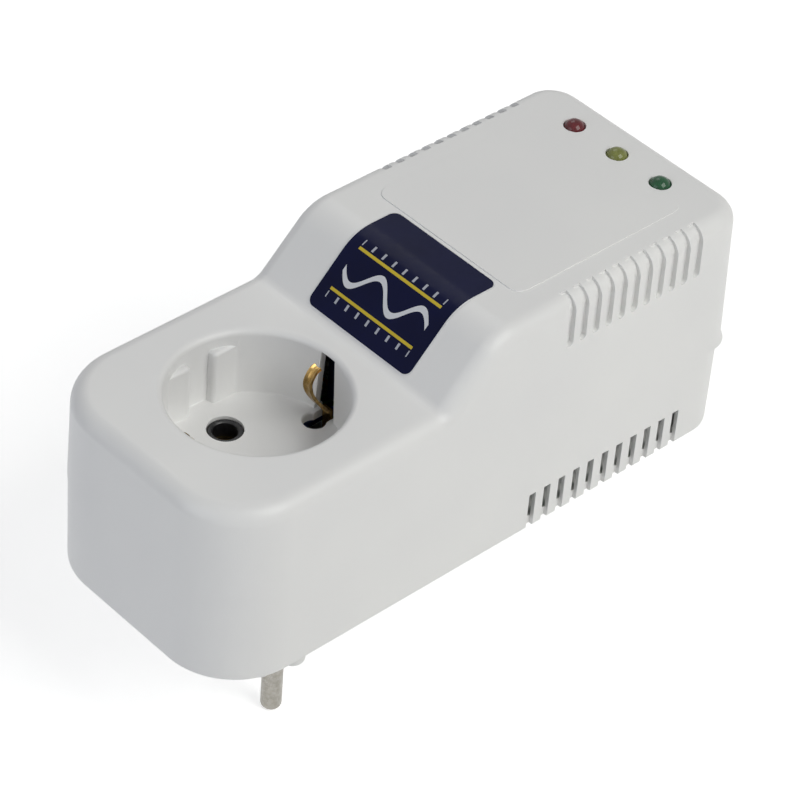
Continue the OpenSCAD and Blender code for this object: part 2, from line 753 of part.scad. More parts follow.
module relay_bobbin() {
    color("#2b2b2b") translate([relay_x, relay_y, coil_z]) difference() {
        union() {
            cylinder(h = coil_h, r = spool_r);
            for (z = [0, coil_h - coil_flange_t]) translate([0, 0, z])
                cylinder(h = coil_flange_t, r = coil_flange_r);
        }
        translate([0, 0, -over]) cylinder(h = coil_h + 2 * over, r = core_r + slip);
    }
}
module relay_winding() {
    color("#a5622d") translate([relay_x, relay_y, coil_z + coil_flange_t]) difference() {
        cylinder(h = coil_h - 2 * coil_flange_t, r = coil_r);
        translate([0, 0, -over]) cylinder(h = coil_h + 2 * over, r = spool_r + slip);
    }
}
module relay_armature() {
    color("#8d9094") translate([relay_x + yoke_back + yoke_t - armature_l, relay_y - yoke_w / 2, armature_z])
        cube([armature_l, yoke_w, armature_t]);
}
module relay_leaf() {
    leaf_end_x = relay_x + yoke_back + yoke_t - armature_l + leaf_over;
    color("#c08f43") {
        translate([contact_x - touch_r, relay_y - leaf_w / 2, armature_z + armature_t])
            cube([leaf_end_x - contact_x + touch_r, leaf_w, leaf_t]);
        translate([contact_x, relay_y, armature_z + armature_t - touch_h]) cylinder(h = touch_h, r = touch_r);
    }
}
module relay_fixed_contact() {
    top = armature_z + armature_t - touch_h - touch_gap;
    color("#c9a65a") {
        translate([contact_x, relay_y, top - touch_h]) cylinder(h = touch_h, r = touch_r);
        translate([contact_x - touch_r, relay_y - leaf_w / 2, relay_seat])
            cube([post_t, leaf_w, top - touch_h - relay_seat]);
        translate([contact_x - touch_r, relay_y - leaf_w / 2, top - touch_h - post_t])
            cube([2 * touch_r, leaf_w, post_t]);
    }
}

// transformer
core_w = 14;
core_h = 25;
leg_w = 9;
window_l = 5;
window_h = 16;
former_t = 0.7;
former_flange_t = 0.8;
wind_out = 5;
trafo_y_share = 0.31;
trafo_x = relay_x + relay_l / 2 + part_gap + core_l / 2;
trafo_y = across(trafo_y_share);
module trafo_ring(half_x, half_y, z, h) {
    translate([trafo_x - half_x, trafo_y - half_y, z]) cube([2 * half_x, 2 * half_y, h]);
}
core_top_t = (core_h - window_h) / 2;
former_x = leg_w / 2 + slip;
former_y = core_w / 2 + slip;
window_z = board_top + core_top_t;
module transformer_core() {
    color("#5b5e62") difference() {
        trafo_ring(core_l / 2, core_w / 2, board_top, core_h);
        for (s = [-1, 1]) translate([trafo_x + s * (leg_w + window_l) / 2 - window_l / 2,
            trafo_y - core_w / 2 - over, window_z]) cube([window_l, core_w + 2 * over, window_h]);
    }
}
module transformer_bobbin() {
    z = window_z + slip;
    h = window_h - 2 * slip;
    flange_x = leg_w / 2 + window_l - 2 * slip;
    flange_y = former_y + wind_out + former_t;
    color("#e8e4d8") difference() {
        union() {
            trafo_ring(former_x + former_t, former_y + former_t, z, h);
            for (k = [z, z + h - former_flange_t]) trafo_ring(flange_x, flange_y, k, former_flange_t);
        }
        trafo_ring(former_x, former_y, z - over, h + 2 * over);
    }
}
module transformer_winding() {
    z = window_z + former_flange_t + 2 * slip;
    h = window_h - 2 * former_flange_t - 4 * slip;
    color("#c7a53c") difference() {
        trafo_ring(leg_w / 2 + window_l - 4 * slip, former_y + wind_out, z, h);
        trafo_ring(former_x + former_t + slip, former_y + former_t + slip, z - over, h + 2 * over);
    }
}

// small parts on the board
can_r = 5;
can_h = 17;
can_in = 9.95;
can_x = board_x + can_in;
can_y_share = -0.635;
can_y = across(can_y_share);
can_vent_h = 0.6;
module filter_capacitor() {
    color("#20242c") translate([can_x, can_y, board_top]) {
        cylinder(h = can_h - can_vent_h, r = can_r);
        cylinder(h = can_h, r = can_r - can_vent_h);
    }
}
disc_r = 2.2;
disc_t = 2.2;
disc_leg = 1.6;
disc_end_in = 3.5;
disc_y_share = -0.93;
// a disc on two legs, standing on the board
module disc_part(p, r, t, leg) {
    translate([p[0], p[1], board_top]) {
        translate([0, t / 2, leg + r]) rotate([90, 0, 0]) cylinder(h = t, r = r);
        for (s = [-1, 1]) translate([s * lead_gap / 2, 0, 0]) cylinder(h = leg + r, r = lead_r);
    }
}
module small_capacitors() {
    color("#b4692c") for (p = disc_places) disc_part(p, disc_r, disc_t, disc_leg);
}
var_r = 5;
var_t = 3.6;
var_y_share = 0.885;
module varistor() {
    x = fuse_x + fuse_l / 2 + 2 * part_gap + var_r;
    color("#2d4c9b") disc_part([x, across(var_y_share)], var_r, var_t, disc_leg);
}

fuse_l = 20;
fuse_cap_l = 5;
clip_span = 4;
fuse_x = board_x + post_in + small_head_r + part_gap + (fuse_l - fuse_cap_l + clip_span) / 2;
fuse_lift = 4.4;
fuse_z = board_top + fuse_lift;
module fuse_tube() {
    color("#d9dcdc") translate([fuse_x - fuse_l / 2, fuse_y, fuse_z]) rotate([0, 90, 0]) {
        translate([0, 0, fuse_cap_l]) cylinder(h = fuse_l - 2 * fuse_cap_l, r = fuse_r - fit);
        for (z = [0, fuse_l - fuse_cap_l]) translate([0, 0, z]) cylinder(h = fuse_cap_l, r = fuse_r);
    }
}
module fuse_clips() {
    out = fuse_r + slip + clip_wall;
    color("#c9a65a") for (s = [-1, 1])
        translate([fuse_x + s * (fuse_l - fuse_cap_l) / 2 - clip_span / 2, fuse_y, 0]) difference() {
            union() {
                translate([0, 0, fuse_z]) rotate([0, 90, 0]) cylinder(h = clip_span, r = out);
                translate([0, -fuse_r / 2, board_top])
                    cube([clip_span, fuse_r, fuse_z - board_top - fuse_r]);
            }
            translate([-over, 0, fuse_z]) rotate([0, 90, 0])
                cylinder(h = clip_span + 2 * over, r = fuse_r + slip);
            translate([-over, -out, fuse_z + fuse_r / 2]) cube([clip_span + 2 * over, 2 * out, 2 * fuse_r]);
        }
}
reg_r = 2.4;
reg_h = 4.8;
reg_leg = 3;
reg_flat_share = 0.8;
reg_x = board_x + board_l - disc_end_in - disc_r - part_gap - reg_r;
module regulator() {
    color("#26272a") translate([reg_x, chip_y, board_top]) {
        translate([0, 0, reg_leg]) intersection() {
            cylinder(h = reg_h, r = reg_r);
            translate([-reg_r, -reg_r, 0]) cube([2 * reg_r, 2 * reg_r * reg_flat_share, reg_h]);
        }
        for (k = [-1:1]) translate([k * lead_gap / 2, 0, 0]) cylinder(h = reg_leg + over, r = lead_r);
    }
}
chip_l = 19;
chip_w = 6.4;
chip_h = 3.4;
chip_lift = 0.6;
chip_x = can_x + can_r + part_gap;
chip_y_share = -0.655;
chip_y = across(chip_y_share);
disc_places = [[can_x + can_r, across(disc_y_share)], [chip_x + chip_l + part_gap + disc_r, chip_y],
    [board_x + board_l - disc_end_in, can_y]];
chip_notch_r = 1;
leg_n = 7;
leg_t = 0.5;
leg_drop = 2.3;
module comparator_chip() {
    color("#232427") translate([chip_x, chip_y - chip_w / 2, board_top + chip_lift]) difference() {
        cube([chip_l, chip_w, chip_h]);
        translate([0, chip_w / 2, chip_h - leg_t]) cylinder(h = over, r = chip_notch_r);
    }
}
module chip_legs() {
    color("#b8b9ba") for (i = [0:leg_n - 1], s = [0, 1])
        translate([chip_x + chip_l / 2 + (i - (leg_n - 1) / 2) * lead_gap - leg_t / 2,
            chip_y + (s ? chip_w / 2 : -chip_w / 2 - leg_t), board_top]) cube([leg_t, leg_t, leg_drop]);
}
axial_r = 1.1;
axial_l = 6;
axial_span = 10;
diode_r = 1.3;
diode_l = 4.8;
solder_r = 0.36;
axial_end_x = board_x + board_l - part_gap - solder_r - axial_span / 2;
resistor_shares = [[0.31, -0.41], [0.5, -0.41], [0.36, -0.9]];
diode_shares = [[0.56, -0.9], [0.765, -0.925]];
end_resistor_share = -0.42;
end_diode_shares = [-0.29, -0.525];
resistor_places = concat([for (k = resistor_shares) on_board(k)],
    [[axial_end_x, across(end_resistor_share)]]);
diode_places = concat([for (k = diode_shares) on_board(k)],
    [for (k = end_diode_shares) [axial_end_x, across(k)]]);
// a part lying along X with a lead at each end
module axial(p, r, l) {
    translate([p[0], p[1], board_top + r]) {
        translate([-l / 2, 0, 0]) rotate([0, 90, 0]) cylinder(h = l, r = r);
        translate([-axial_span / 2, 0, 0]) rotate([0, 90, 0]) cylinder(h = axial_span, r = lead_r);
        for (s = [-1, 1]) translate([s * axial_span / 2, 0, -r]) cylinder(h = r + lead_r, r = solder_r);
    }
}
module resistors() { color("#c9b58a") for (p = resistor_places) axial(p, axial_r, axial_l); }
module diodes() { color("#303236") for (p = diode_places) axial(p, diode_r, diode_l); }

trim_s = 6.6;
trim_h = 4.4;
trim_rotor_r = 2.2;
trim_rotor_h = 1.2;
trim_depth = 0.9;
trim_slot_w = 0.6;
trim_x = chip_x + chip_l + 2 * part_gap + 2 * disc_r + trim_s / 2;
trim_y_share = -0.69;
trim_low_y = across(trim_y_share);
trim_places = [[trim_x, trim_low_y], [trim_x, trim_low_y + trim_s + part_gap]];
module trimmer_bodies() {
    color("#2c5aa0") for (p = trim_places) difference() {
        translate([p[0] - trim_s / 2, p[1] - trim_s / 2, board_top]) cube([trim_s, trim_s, trim_h]);
        translate([p[0], p[1], board_top + trim_h - trim_depth])
            cylinder(h = trim_depth + over, r = trim_rotor_r + slip);
    }
}
module trimmer_rotor(p) {
    z = board_top + trim_h - trim_depth + slip;
    color("#e4e1d6") difference() {
        translate([p[0], p[1], z]) cylinder(h = trim_rotor_h, r = trim_rotor_r);
        translate([p[0] - trim_rotor_r - over, p[1] - trim_slot_w / 2, z + trim_rotor_h / 2])
            cube([2 * trim_rotor_r + 2 * over, trim_slot_w, trim_rotor_h]);
    }
}
module trimmer_low_rotor() { trimmer_rotor(trim_places[0]); }
module trimmer_high_rotor() { trimmer_rotor(trim_places[1]); }

// wires: a tube swept along hand-picked points
tube_sides = 8;
function unit(v) = v / norm(v);
function tangent(path, k) = unit(path[min(len(path) - 1, k + 1)] - path[max(0, k - 1)]);
function ring_at(path, k, r) =
    let (t = tangent(path, k), ref = abs(t[1]) < 0.9 ? [0, 1, 0] : [1, 0, 0],
         u = unit(cross(t, ref)), v = cross(t, u))
    [for (i = [0:tube_sides - 1]) let (a = 360 * (i + 0.5) / tube_sides)
        path[k] + r * (u * cos(a) + v * sin(a))];
module tube(path, r) {
    n = len(path);
    s = tube_sides;
    polyhedron([for (k = [0:n - 1]) each ring_at(path, k, r)], concat(
        [for (k = [0:n - 2], i = [0:s - 1])
            let (a = k * s + i, b = k * s + (i + 1) % s) each [[a, b + s, a + s], [a, b, b + s]]],
        [for (i = [1:s - 2]) [0, i + 1, i]],
        [for (i = [1:s - 2], last = (n - 1) * s) [last, last + i, last + i + 1]]));
}
wire_r = wire_d / 2;
lamp_wire_r = 0.6;
// routes from the housing's underside: along the clamp or under a tab, then up or across to the other end
live_route = [[2.2, -9.5, 7.5], [8, -9.5, 7.5], [14, -10, 7.6], [20, -10.5, 8.4], [25.4, -10.6, 10.8],
    [29, -10.5, 14.4], [32, -10.2, 16.8], [34.8, -9.8, 16.6], [36.6, -9.6, 14.8], [37, -9.6, 13.2],
    [37, -9.6, 11.7]];
switched_route = [[37, -15, 11.7], [37, -15, 13.6], [36.4, -15.3, 15.6], [34.4, -16, 17.2], [31.4, -17, 17],
    [28, -18, 15.2], [24, -19, 13.4], [19, -19.6, 12.4], [12, -19.8, 12.2], [5, -19.8, 12.2],
    [-1.5, -19.8, 12.2]];
neutral_route = [[-2.2, 9.5, 7.5], [-6, 9.5, 7.5], [-9, 10.8, 7.8], [-10.4, 13.8, 8.8], [-9.8, 17.2, 10.4],
    [-7, 19.2, 11.8], [-3, 19.8, 12.2], [1.5, 19.8, 12.2]];
tap_route = [[36, 8, 11.7], [36, 8, 13.6], [35.4, 8.4, 15.6], [33.4, 9.4, 17], [30.4, 11, 16.6],
    [27, 12.4, 14.8], [23, 13.6, 13.2], [18, 14.8, 12.4], [12, 15.6, 12.2], [5, 15.8, 12.2],
    [-1.5, 15.8, 12.2]];
earth_route = [[-4.5, 0, 8.3], [-10, 0, 8.3], [-15.6, 0.4, 8.3], [-20, 2.4, 8.4], [-23.4, 5.4, 8.9],
    [-26.6, 6.4, 9.8], [-28.4, 4.2, 10.8], [-27.6, 1.4, 11.6], [-25, 0.2, 12.1], [-21, 0, 12.2],
    [-15, 0, 12.2]];
lamp_wire_in = 1.8;
lamp_wire_gap = 1.8;
lamp_wire_n = 4;
lamp_wire_y = -6;
module wire(path) { translate([0, 0, under_z]) tube(path, wire_r); }
module live_wire() { color("#7a3f22") wire(live_route); }
module switched_live_wire() { color("#7a3f22") wire(switched_route); }
module neutral_wire() { color("#2c5aa0") wire(neutral_route); }
module neutral_tap_wire() { color("#2c5aa0") wire(tap_route); }
module earth_wire() { color("#5c9440") wire(earth_route); }
module led_wires() {
    low_x = board_x + board_l - lamp_wire_in;
    top_x = lamp_x - led_board_l / 2 + lamp_wire_in;
    rise = led_board_z - board_top - 2 * slip;
    color("#c8c9c9") for (i = [0:lamp_wire_n - 1])
        translate([0, lamp_wire_y + i * lamp_wire_gap, board_top + slip])
        tube([[low_x, 0, 0], [low_x, 0, rise / 3], [top_x, 0, rise * 2 / 3], [top_x, 0, rise]], lamp_wire_r);
}
module housing_screws() {
    color("#b8b9ba") for (p = boss_places) translate([p[0], p[1], under_z + screw_sink])
        screw(screw_r, screw_head_r, screw_head_h, base_h - screw_sink + screw_grip - fit);
}

// one line per node
top_housing();
bottom_housing();
label();
contact_carrier();
carrier_screws();
live_contact();
neutral_contact();
earth_strap();
earth_clip_front();
earth_clip_rear();
live_pin();
neutral_pin();
plug_earth_strap();
pin_clamp();
clamp_screw();
circuit_board();
board_screws();
led_board();
led_board_screws();
led_red();
led_yellow();
led_green();
led_leads();
relay_base();
relay_cover();
relay_bobbin();
relay_winding();
relay_yoke();
relay_armature();
relay_leaf();
relay_fixed_contact();
transformer_core();
transformer_bobbin();
transformer_winding();
filter_capacitor();
small_capacitors();
varistor();
fuse_tube();
fuse_clips();
regulator();
comparator_chip();
chip_legs();
resistors();
diodes();
trimmer_bodies();
trimmer_low_rotor();
trimmer_high_rotor();
live_wire();
switched_live_wire();
neutral_wire();
neutral_tap_wire();
earth_wire();
led_wires();
housing_screws();
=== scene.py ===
import math

import bmesh
import bpy
from mathutils import Matrix, Vector


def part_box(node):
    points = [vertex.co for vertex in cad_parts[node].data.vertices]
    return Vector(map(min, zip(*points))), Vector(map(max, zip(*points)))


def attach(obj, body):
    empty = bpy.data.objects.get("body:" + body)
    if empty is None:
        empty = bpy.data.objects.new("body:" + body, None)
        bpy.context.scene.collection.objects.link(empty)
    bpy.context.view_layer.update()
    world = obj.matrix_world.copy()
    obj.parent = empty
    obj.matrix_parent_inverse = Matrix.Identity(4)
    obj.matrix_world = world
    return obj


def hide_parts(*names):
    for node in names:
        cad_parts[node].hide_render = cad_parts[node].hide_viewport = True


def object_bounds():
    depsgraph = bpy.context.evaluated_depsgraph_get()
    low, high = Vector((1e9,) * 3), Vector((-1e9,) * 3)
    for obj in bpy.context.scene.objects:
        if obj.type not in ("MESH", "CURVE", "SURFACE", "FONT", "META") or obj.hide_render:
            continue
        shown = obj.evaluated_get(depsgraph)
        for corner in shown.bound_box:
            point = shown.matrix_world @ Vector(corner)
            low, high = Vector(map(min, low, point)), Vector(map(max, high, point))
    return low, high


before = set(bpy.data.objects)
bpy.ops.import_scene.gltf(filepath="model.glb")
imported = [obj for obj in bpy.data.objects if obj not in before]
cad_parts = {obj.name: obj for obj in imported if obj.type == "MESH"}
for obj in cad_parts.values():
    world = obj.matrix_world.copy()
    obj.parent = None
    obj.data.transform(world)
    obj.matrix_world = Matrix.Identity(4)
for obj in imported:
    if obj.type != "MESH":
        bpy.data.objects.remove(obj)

# Sizes are in millimetres in the part's frame: z is 0 at the plug's face and +X runs to the lamps
CAD_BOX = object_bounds()
MM = 0.001
SCENE = bpy.context.scene
# A tight and a looser tolerance for places that count as one, or as lying on a plane
SAME = 1e-4
NEAR = 1e-3
# How far a cut runs past the face that it opens, and a joined piece into what carries it
OVER = 1
SIDES = (1, -1)


def node_box(name):
    """A node's lowest and highest corners in millimetres."""
    low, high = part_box(name)
    return low / MM, high / MM


TOP_LOW, TOP_HIGH = node_box("top_housing")
CARRIER_LOW, CARRIER_HIGH = node_box("contact_carrier")
LABEL_LOW, LABEL_HIGH = node_box("label")

# The housings: the lower one is set in by LIP, and its corners at the lamp end are rounder. The top one's
# walls draw in by DRAFT as they rise, and its lamp end leans in by BACK_LEAN more
HALF_W = TOP_HIGH.y
FRONT_X = TOP_LOW.x
BACK_X = TOP_HIGH.x
PART_Z = TOP_LOW.z
WALL = 2.2
UNDER_Z = 19.5
FLOOR_Z = UNDER_Z + WALL
FACE_Z = UNDER_Z + 46
HUMP_Z = UNDER_Z + 60
FRONT_R = 17.5
BACK_R = 8.3
BASE_BACK_R = 9.8
EDGE_R = 4
DRAFT = 0.022
BACK_LEAN = 0.016
LIP = 0.15
# How far the top's corners at the lamp end stand out at the parting line
CORNER_LIP = 1.4
PANEL_H = 0.24
# The tube and the posts end this far under the top's outer face, inside its wall
IN_WALL = 1.1
POST_R = 4
SMALL_POST_R = 3

# The top's side profile: a foot arc, a straight slope and a crest arc
SLOPE_X = 25
CREST_X = 39
FOOT_R = 3
CREST_R = 11
SLOPE = math.atan2(HUMP_Z - FACE_Z, CREST_X - SLOPE_X)
FOOT_T = FOOT_R * math.tan(SLOPE / 2)
CREST_T = CREST_R * math.tan(SLOPE / 2)

# The socket and the plug
WELL_R = 19.6
WELL_Z = FACE_Z - 17
PIN_Y = 9.5
PIN_R = 2.4
PIN_L = 19
SHANK_R = 2.7
COLLAR_R = 3.95
CARRIER_POST_X = 11
CARRIER_POST_R = 2.9
CARRIER_POST_L = 4
PLUG_R = 18.5
PLUG_FLAT = 16.4
SCREW_IN = 8.6
SCREW_FRONT_IN = 13
SCREW_PLACES = [(x, s * (HALF_W - SCREW_IN)) for x in (FRONT_X + SCREW_FRONT_IN, BACK_X - SCREW_IN)
                for s in SIDES]

# The lamps
LAMPS = {name: node_box("led_" + name) for name in ("red", "yellow", "green")}
LAMP_PLACES = {name: (low + high) / 2 for name, (low, high) in LAMPS.items()}
LAMP_X = LAMP_PLACES["yellow"].x
LAMP_PITCH = LAMP_PLACES["red"].y - LAMP_PLACES["yellow"].y
LAMP_R = 2.5

# The label, as it lies along the slope, and its print: a wave between two limits with ticks
LABEL_FROM = LABEL_LOW.x + 0.1
LABEL_W = LABEL_HIGH.y - LABEL_LOW.y
LABEL_Y = (LABEL_HIGH.y + LABEL_LOW.y) / 2
LABEL_MARGIN = 3.4
WAVE_L = 12.8
WAVE_H = 2.6
WAVE_T = 1.5
# The wave's middle line, as a share of the label's length
WAVE_SHARE = 0.37
LIMIT_OUT = 5.2
LIMIT_T = 0.7
TICK_PITCH = 3.2
TICK_L = 1.5
TICK_T = 0.6


# Mesh tools

def box_bm(low, high):
    """A box between two corners."""
    bm = bmesh.new()
    bmesh.ops.create_cube(bm, size=1)
    bmesh.ops.scale(bm, vec=[h - l for l, h in zip(low, high)], verts=bm.verts)
    bmesh.ops.translate(bm, vec=[(h + l) / 2 for l, h in zip(low, high)], verts=bm.verts)
    return bm


def round_edges(bm, edges, width, segments=3):
    """Rounds the edges, which run into each other unchecked, and gives the mesh back."""
    bmesh.ops.bevel(
        bm, geom=list(edges), offset=width, offset_type="OFFSET", affect="EDGES",
        segments=segments, profile=0.5, material=-1, clamp_overlap=False, loop_slide=True)
    return bm


def edges_where(bm, test):
    """The edges whose two ends pass the test."""
    return [e for e in bm.edges if test(*(v.co for v in e.verts))]


def upright(a, b):
    """Whether an edge between two places is vertical."""
    return abs(a.x - b.x) < SAME and abs(a.y - b.y) < SAME


def sharp_edges(bm, degrees=40):
    """The edges whose faces meet at more than an angle."""
    return [e for e in bm.edges if len(e.link_faces) == 2 and e.calc_face_angle(0) > math.radians(degrees)]


def rounded_box(low, high, width, segments=3):
    """A box with all its edges rounded."""
    bm = box_bm(low, high)
    return round_edges(bm, list(bm.edges), width, segments)


def disc_bm(x, y, z, radius, height, segments=64):
    """An upright cylinder on its lower end's middle."""
    bm = bmesh.new()
    bmesh.ops.create_cone(
        bm, cap_ends=True, segments=segments, radius1=radius, radius2=radius, depth=height,
        matrix=Matrix.Translation((x, y, z + height / 2)))
    return bm


def side_box(side, near, far, half, low, high):
    """A box out on one side along x, between two distances from the middle."""
    x0, x1 = sorted((side * near, side * far))
    return box_bm((x0, -half, low), (x1, half, high))


def spun_bm(profile, centre=(0, 0, 0), steps=64):
    """A turned solid: the profile's (radius, height) pairs, spun about the upright axis."""
    bm = bmesh.new()
    verts = [bm.verts.new((r, 0, z)) for r, z in profile]
    edges = [bm.edges.new(pair) for pair in zip(verts, verts[1:])]
    if profile[0][0] > 0:
        edges.append(bm.edges.new((verts[-1], verts[0])))
    bmesh.ops.spin(
        bm, geom=verts + edges, cent=(0, 0, 0), axis=(0, 0, 1), angle=math.tau,
        steps=steps, use_merge=True)
    bmesh.ops.remove_doubles(bm, verts=bm.verts, dist=SAME)
    bmesh.ops.recalc_face_normals(bm, faces=bm.faces)
    bmesh.ops.translate(bm, vec=centre, verts=bm.verts)
    return bm


def arc(cx, cz, radius, start, end, steps):
    """Profile points on an arc, its angles in degrees."""
    turns = [math.radians(start + (end - start) * i / steps) for i in range(steps + 1)]
    return [(cx + radius * math.cos(t), cz + radius * math.sin(t)) for t in turns]


def prism_bm(outline, low, high, axis="y"):
    """An outline in the plane across an axis, pushed out along that axis from low to high."""
    bm = bmesh.new()
    places = [(p[0], low, p[1]) if axis == "y" else (low, p[0], p[1]) for p in outline]
    face = bm.faces.new([bm.verts.new(place) for place in places])
    grown = bmesh.ops.extrude_face_region(bm, geom=[face])
    moved = [g for g in grown["geom"] if isinstance(g, bmesh.types.BMVert)]
    push = (0, high - low, 0) if axis == "y" else (high - low, 0, 0)
    bmesh.ops.translate(bm, vec=push, verts=moved)
    bmesh.ops.recalc_face_normals(bm, faces=bm.faces)
    return bm


def turned(bm, degrees, axis):
    """The same shape turned about an axis through the origin."""
    turn = Matrix.Rotation(math.radians(degrees), 3, axis)
    bmesh.ops.rotate(bm, cent=(0, 0, 0), matrix=turn, verts=bm.verts)
    return bm


def mirrored(bm, axis=1):
    """The same shape on the other side, its faces still outwards."""
    flip = [1, 1, 1]
    flip[axis] = -1
    bmesh.ops.scale(bm, vec=flip, verts=bm.verts)
    bmesh.ops.reverse_faces(bm, faces=bm.faces)
    return bm


def joined(meshes):
    """One mesh that holds all of them, side by side."""
    whole = bmesh.new()
    for bm in meshes:
        mesh = bpy.data.meshes.new("part")
        bm.to_mesh(mesh)
        bm.free()
        whole.from_mesh(mesh)
        bpy.data.meshes.remove(mesh)
    return whole


def object_of(name, bm):
    """A new object in the scene with this mesh."""
    mesh = bpy.data.meshes.new(name)
    bm.to_mesh(mesh)
    bm.free()
    piece = bpy.data.objects.new(name, mesh)
    SCENE.collection.objects.link(piece)
    return piece


def mesh_of(piece):
    """Takes an object's mesh back as a bmesh, and removes the object."""
    bm = bmesh.new()
    bm.from_mesh(piece.data)
    bpy.data.objects.remove(piece)
    return bm


def merged(bm, degrees):
    """The same shape without doubled places, or seams between faces that lie in one plane."""
    bmesh.ops.remove_doubles(bm, verts=bm.verts, dist=NEAR)
    bmesh.ops.dissolve_limit(bm, angle_limit=math.radians(degrees), verts=bm.verts, edges=bm.edges)
    return bm


def shaped(piece, tools, how="DIFFERENCE"):
    """Cuts the tools from the piece, adds them or keeps what they share. No two tools overlap."""
    tool = object_of("tool", joined(tools))
    modifier = piece.modifiers.new("shape", "BOOLEAN")
    modifier.object = tool
    modifier.operation = how
    modifier.solver = "EXACT"
    bpy.context.view_layer.update()
    graph = bpy.context.evaluated_depsgraph_get()
    mesh = bpy.data.meshes.new_from_object(piece.evaluated_get(graph))
    piece.modifiers.clear()
    piece.data = mesh
    bpy.data.objects.remove(tool)
    return piece


def finished(piece, material, body="root", replaces=(), smooth=32):
    """Cleans the piece, scales it to metres, shades it and puts it on its body."""
    bm = bmesh.new()
    bm.from_mesh(piece.data)
    bmesh.ops.remove_doubles(bm, verts=bm.verts, dist=SAME)
    bmesh.ops.dissolve_degenerate(bm, edges=bm.edges, dist=SAME / 10)
    bmesh.ops.scale(bm, vec=(MM, MM, MM), verts=bm.verts)
    bm.to_mesh(piece.data)
    bm.free()
    piece.data.shade_smooth()
    piece.data.set_sharp_from_angle(angle=math.radians(smooth))
    normal = piece.modifiers.new("flat faces stay flat", "WEIGHTED_NORMAL")
    normal.keep_sharp = True
    normal.weight = 80
    piece.data.materials.clear()
    piece.data.materials.append(material)
    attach(piece, body)
    if replaces:
        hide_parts(*replaces)
    return piece


# Materials

def colour(hexa):
    """An sRGB hex value as linear colour."""
    parts = [int(hexa[i:i + 2], 16) / 255 for i in (0, 2, 4)]
    return [c / 12.92 if c <= 0.04045 else ((c + 0.055) / 1.055) ** 2.4 for c in parts] + [1]


def add(tree, kind, sockets=(), feeds=(), **properties):
    """Adds a node: sets its properties, sets or links its sockets, and links its outputs on."""
    made = tree.nodes.new(kind)
    for key, value in properties.items():
        setattr(made, key, value)
    for key, value in dict(sockets).items():
        if isinstance(value, bpy.types.NodeSocket):
            tree.links.new(value, made.inputs[key])
        else:
            made.inputs[key].default_value = value
    for key, value in dict(feeds).items():
        tree.links.new(made.outputs[key], value)
    return made


def surface(name, low, high, cloud_mm, rough, grain_mm, depth_mm, stretch=(1, 1, 1), **constants):
    """A finish: a colour that drifts between two values, and a grain in its gloss and relief.

    cloud_mm is the drift's size, grain_mm the grain's and depth_mm its relief. The constants are the
    shader's sockets that are the same all over."""
    band, spread = {"From Min": 0.35, "From Max": 0.65}, 0.05
    material = bpy.data.materials.new(name)
    material.use_nodes = True
    tree = material.node_tree
    shader = tree.nodes["Principled BSDF"]
    for key, value in constants.items():
        shader.inputs[key.replace("_", " ")].default_value = value
    where = add(tree, "ShaderNodeTexCoord").outputs["Object"]
    sockets = {"Vector": where, "Scale": 1 / (cloud_mm * MM), "Detail": 2}
    cloud = add(tree, "ShaderNodeTexNoise", sockets).outputs["Fac"]
    drift = add(tree, "ShaderNodeMapRange", {"Value": cloud, **band}).outputs[0]
    add(tree, "ShaderNodeMix", {0: drift, 6: colour(low), 7: colour(high)},
        {2: shader.inputs["Base Color"]}, data_type="RGBA")
    drawn = add(tree, "ShaderNodeMapping", {"Vector": where, "Scale": stretch}).outputs[0]
    sockets = {"Vector": drawn, "Scale": 1 / (grain_mm * MM), "Detail": 3}
    grain = add(tree, "ShaderNodeTexNoise", sockets).outputs["Fac"]
    sockets = {"Value": grain, **band, "To Min": rough - spread, "To Max": rough + spread}
    add(tree, "ShaderNodeMapRange", sockets, {0: shader.inputs["Roughness"]})
    add(tree, "ShaderNodeBump", {"Height": grain, "Distance": depth_mm * MM}, {0: shader.inputs["Normal"]})
    return material


def moulded(name, low, high, rough, grain_mm=0.5):
    """Moulded or sleeved plastic: one colour a little mottled by the melt, with a fine mould grain.

    The real grain is finer. It is drawn coarser so that it shows."""
    return surface(name, low, high, cloud_mm=12 * grain_mm, rough=rough, grain_mm=grain_mm, depth_mm=0.01,
                   IOR=1.5)


def drawn_metal(name, low, high, rough, stretch):
    """Rolled, drawn or plated metal: fine streaks along the stock, and duller spots from handling."""
    return surface(name, low, high, cloud_mm=1.2, rough=rough, grain_mm=0.12, depth_mm=0.004,
                   stretch=stretch, Metallic=1.0)


def tinted_epoxy(name, low, high):
    """Tinted, diffused lamp epoxy: light gets some way in, and the polished dome shines."""
    return surface(name, low, high, cloud_mm=1.2, rough=0.09, grain_mm=3, depth_mm=0.001, IOR=1.5,
                   Transmission_Weight=0.35, Specular_IOR_Level=0.3)


def layered(name, low, high, rough, pitch_mm, axis, metallic):
    """Turns of wire or stacked laminations: a ridge for each, and painted shade that darkens the seam
    between them.
    """
    material = surface(name, low, high, cloud_mm=1, rough=rough, grain_mm=1, depth_mm=0.002,
                       Metallic=metallic)
    tree = material.node_tree
    shader = tree.nodes["Principled BSDF"]
    where = tree.nodes["Texture Coordinate"].outputs["Object"]
    # the wave texture repeats 20 times in each 2 pi
    sockets = {"Vector": where, "Scale": math.tau / (20 * pitch_mm * MM), "Distortion": 0.3}
    ridge = add(tree, "ShaderNodeTexWave", sockets, bands_direction=axis).outputs["Fac"]
    # painted shade: the low colour goes into the seams between the ridges
    seam_painted_shade = add(tree, "ShaderNodeMapRange", {"Value": ridge, "From Max": 0.5}).outputs[0]
    add(tree, "ShaderNodeMix", {0: seam_painted_shade, 6: colour(low), 7: colour(high)},
        {2: shader.inputs["Base Color"]}, data_type="RGBA")
    sockets = {"Height": ridge, "Distance": pitch_mm / 4 * MM}
    add(tree, "ShaderNodeBump", sockets, {0: shader.inputs["Normal"]})
    return material


